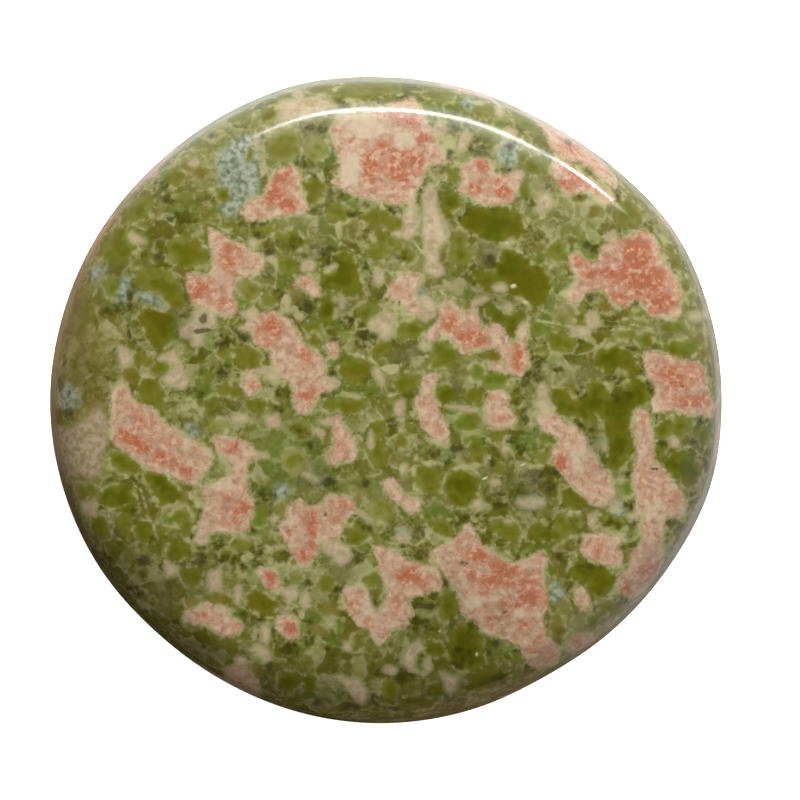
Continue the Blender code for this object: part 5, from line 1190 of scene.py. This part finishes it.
table_shape = bmesh.new()
bmesh.ops.create_grid(table_shape, x_segments=2, y_segments=2, size=TABLE_HALF)
bmesh.ops.translate(table_shape, verts=table_shape.verts, vec=(0.0, 0.0, -TABLE_DROP))
table_mesh = bpy.data.meshes.new("table")
table_shape.to_mesh(table_mesh)
table_shape.free()
table = bpy.data.objects.new("table", table_mesh)
bpy.context.scene.collection.objects.link(table)
table_paint = bpy.data.materials.new("white_table")
table_paint.use_nodes = True
table_graph = Graph(table_paint)
table_shader = table_graph.nodes["Principled BSDF"]
table_grain = table_graph.noise(table_graph.add("ShaderNodeTexCoord", {}, "Object"), 900.0)
table_tone = table_graph.blend(table_grain, (0.86, 0.86, 0.86, 1.0), (0.88, 0.88, 0.88, 1.0))
table_graph.links.new(table_tone, table_shader.inputs["Base Color"])
table_shader.inputs["Roughness"].default_value = 0.8
table_shader.inputs["Specular IOR Level"].default_value = 0.1
table_shader.inputs["Emission Color"].default_value = (1.0, 1.0, 1.0, 1.0)
table_shader.inputs["Emission Strength"].default_value = TABLE_GLOW
table_mesh.materials.append(table_paint)

# Brown card
# A ring of painted card lies round the foot of the stone for the polished shoulder to mirror: dark
# brown at the near left, then tan, pale at the right and palest at the far side. The camera doesn't
# see it, and it casts no shadow.
CARD_LIFT = 0.05 * MM
CARD_INNER = 0.0182
CARD_OUTER = 0.60
CARD_GROWTH = CARD_OUTER / CARD_INNER
CARD_STEPS = 96

card_shape = bmesh.new()
card_ring = bmesh.ops.create_circle(card_shape, cap_ends=False, segments=CARD_STEPS, radius=CARD_INNER)
bmesh.ops.translate(card_shape, verts=card_ring["verts"], vec=(0.0, 0.0, CARD_LIFT))
card_rim = list(card_shape.edges)
card_outwards = bmesh.ops.extrude_edge_only(card_shape, edges=card_rim)["geom"]
card_outer_edge = [part for part in card_outwards if isinstance(part, bmesh.types.BMVert)]
bmesh.ops.scale(card_shape, verts=card_outer_edge, vec=(CARD_GROWTH, CARD_GROWTH, 1.0))
bmesh.ops.recalc_face_normals(card_shape, faces=card_shape.faces)
card_mesh = bpy.data.meshes.new("brown_card")
card_shape.to_mesh(card_mesh)
card_shape.free()
card = bpy.data.objects.new("brown_card", card_mesh)
bpy.context.scene.collection.objects.link(card)
card_paint = bpy.data.materials.new("brown_card")
card_paint.use_nodes = True
card_graph = Graph(card_paint)
card_shader = card_graph.nodes["Principled BSDF"]
card_place = card_graph.add("ShaderNodeTexCoord", {}, "Object")
card_way = card_graph.add("ShaderNodeVectorMath", {0: card_place}, operation="NORMALIZE")
card_from_near = {0: card_way, 1: (0.66, 0.75, 0.0)}
card_from_near = card_graph.add("ShaderNodeVectorMath", card_from_near, "Value", operation="DOT_PRODUCT")
card_from_left = {0: card_way, 1: (0.70, 0.71, 0.0)}
card_from_left = card_graph.add("ShaderNodeVectorMath", card_from_left, "Value", operation="DOT_PRODUCT")
card_reach = card_graph.add("ShaderNodeVectorMath", {0: card_place}, "Value", operation="LENGTH")
card_grain = card_graph.noise(card_place, 400.0)
card_tone = card_graph.blend(card_grain, (0.035, 0.020, 0.012, 1.0), (0.055, 0.032, 0.020, 1.0))
card_tan = card_graph.ramp(card_from_near, -0.97, -0.45)
card_tone = card_graph.blend(card_tan, card_tone, (0.36, 0.24, 0.16, 1.0))
card_pale = card_graph.ramp(card_reach, 0.024, 0.10)
card_pale = card_graph.blend(card_pale, (0.56, 0.52, 0.49, 1.0), (0.34, 0.34, 0.35, 1.0))
card_far = card_graph.ramp(card_graph.add("ShaderNodeSeparateXYZ", {0: card_way}, "Y"), 0.55, 0.95)
card_pale = card_graph.blend(card_far, card_pale, (0.76, 0.76, 0.76, 1.0))
card_tone = card_graph.blend(card_graph.ramp(card_from_left, -0.35, 0.10), card_tone, card_pale)
card_graph.links.new(card_tone, card_shader.inputs["Base Color"])
card_shader.inputs["Roughness"].default_value = 0.9
card_shader.inputs["Specular IOR Level"].default_value = 0.0
card_mesh.materials.append(card_paint)
card.visible_camera = False
card.visible_shadow = False

# Studio light
# One long window, high on the left and low on the right and barred in one place, makes the crescent
# on the far shoulder. A large soft lamp and the glow that it throws on the far wall light the colours, a
# weak one fills the near side, and the walls are dim overhead.
AIM = Vector((0.0, 0.0, 0.004))


def way(azimuth, elevation):
    """The direction that is so many degrees clockwise of +Y, and so many above the table."""
    turn, rise = math.radians(azimuth), math.radians(elevation)
    return Vector((math.sin(turn) * math.cos(rise), math.cos(turn) * math.cos(rise), math.sin(rise)))


def strip_lamp(name, start, end, distance, height, radiance, in_gloss=True):
    """A flat lamp that faces the stone and reaches from one direction to another."""
    middle = (start + end) / 2.0 * distance
    across = (end - start) * distance
    outward = middle.normalized()
    upward = outward.cross(across).normalized()
    data = bpy.data.lights.new(name, "AREA")
    data.shape = "RECTANGLE"
    data.size = across.length
    data.size_y = height
    data.energy = radiance * math.pi * data.size * data.size_y
    lamp = bpy.data.objects.new(name, data)
    frame_axes = Matrix((across.normalized(), upward, outward)).transposed()
    lamp.matrix_world = Matrix.Translation(AIM + middle) @ frame_axes.to_4x4()
    lamp.visible_glossy = in_gloss
    bpy.context.scene.collection.objects.link(lamp)


LAMP_DISTANCE = 0.60
WINDOW_START = way(-25.0, 43.0)
WINDOW_END = way(49.0, 16.0)


def along_window(share):
    return WINDOW_START.lerp(WINDOW_END, share)


strip_lamp("window_left", along_window(0.0), along_window(0.18), LAMP_DISTANCE, 0.030, 22.0)
strip_lamp("window_middle", along_window(0.17), along_window(0.57), LAMP_DISTANCE, 0.066, 18.0)
strip_lamp("window_right", along_window(0.57), along_window(0.655), LAMP_DISTANCE, 0.042, 22.0)
strip_lamp("window_end", along_window(0.69), along_window(0.850), LAMP_DISTANCE, 0.056, 22.0)
strip_lamp("soft_key", way(-13.0, 55.0), way(32.0, 55.0), 0.62, 0.44, 4.9, in_gloss=False)
strip_lamp("near_fill", way(168.0, 25.0), way(240.0, 25.0), LAMP_DISTANCE, 0.20, 2.4, in_gloss=False)

world = bpy.data.worlds.new("studio_walls")
world.use_nodes = True
wall_graph = Graph(world)
wall_way = wall_graph.add("ShaderNodeTexCoord", {}, "Generated")
wall_up = wall_graph.add("ShaderNodeSeparateXYZ", {0: wall_way}, "Z")
to_window = {0: wall_way, 1: (0.72, 0.69, 0.0)}
wall_side = wall_graph.add("ShaderNodeVectorMath", to_window, "Value", operation="DOT_PRODUCT")
wall_tone = wall_graph.blend(
    wall_graph.ramp(wall_side, -0.6, 0.6), (0.10, 0.075, 0.05, 1.0), (0.75, 0.76, 0.78, 1.0),
)
wall_tone = wall_graph.blend(wall_graph.ramp(wall_up, 0.45, 0.85), wall_tone, (0.05, 0.05, 0.05, 1.0))
to_glow = {0: wall_way, 1: way(6.0, 43.0)}
wall_glow = wall_graph.add("ShaderNodeVectorMath", to_glow, "Value", operation="DOT_PRODUCT")
wall_tone = wall_graph.blend(wall_graph.ramp(wall_glow, 0.86, 1.0), wall_tone, (5.4, 5.4, 5.6, 1.0))
background = wall_graph.nodes["Background"]
wall_graph.links.new(wall_tone, background.inputs["Color"])
background.inputs["Strength"].default_value = 0.6
bpy.context.scene.world = world

# Camera
# Straight down from above, with the stone a little left of the middle, as in the photograph.
FRAME_WIDTH = 0.0479
CAMERA_HEIGHT = 0.80
GIRDLE_Z = 0.0015
SENSOR_WIDTH = 36.0
CAMERA_X = 0.00084

camera_data = bpy.data.cameras.new("camera")
camera_data.sensor_width = SENSOR_WIDTH
camera_data.lens = SENSOR_WIDTH * (CAMERA_HEIGHT - GIRDLE_Z) / FRAME_WIDTH
camera_data.clip_start = 0.01
camera_data.clip_end = 20.0
camera = bpy.data.objects.new("camera", camera_data)
camera.location = (CAMERA_X, 0.0, CAMERA_HEIGHT)
bpy.context.scene.collection.objects.link(camera)
bpy.context.scene.camera = camera
bpy.context.scene.view_settings.view_transform = "Standard"
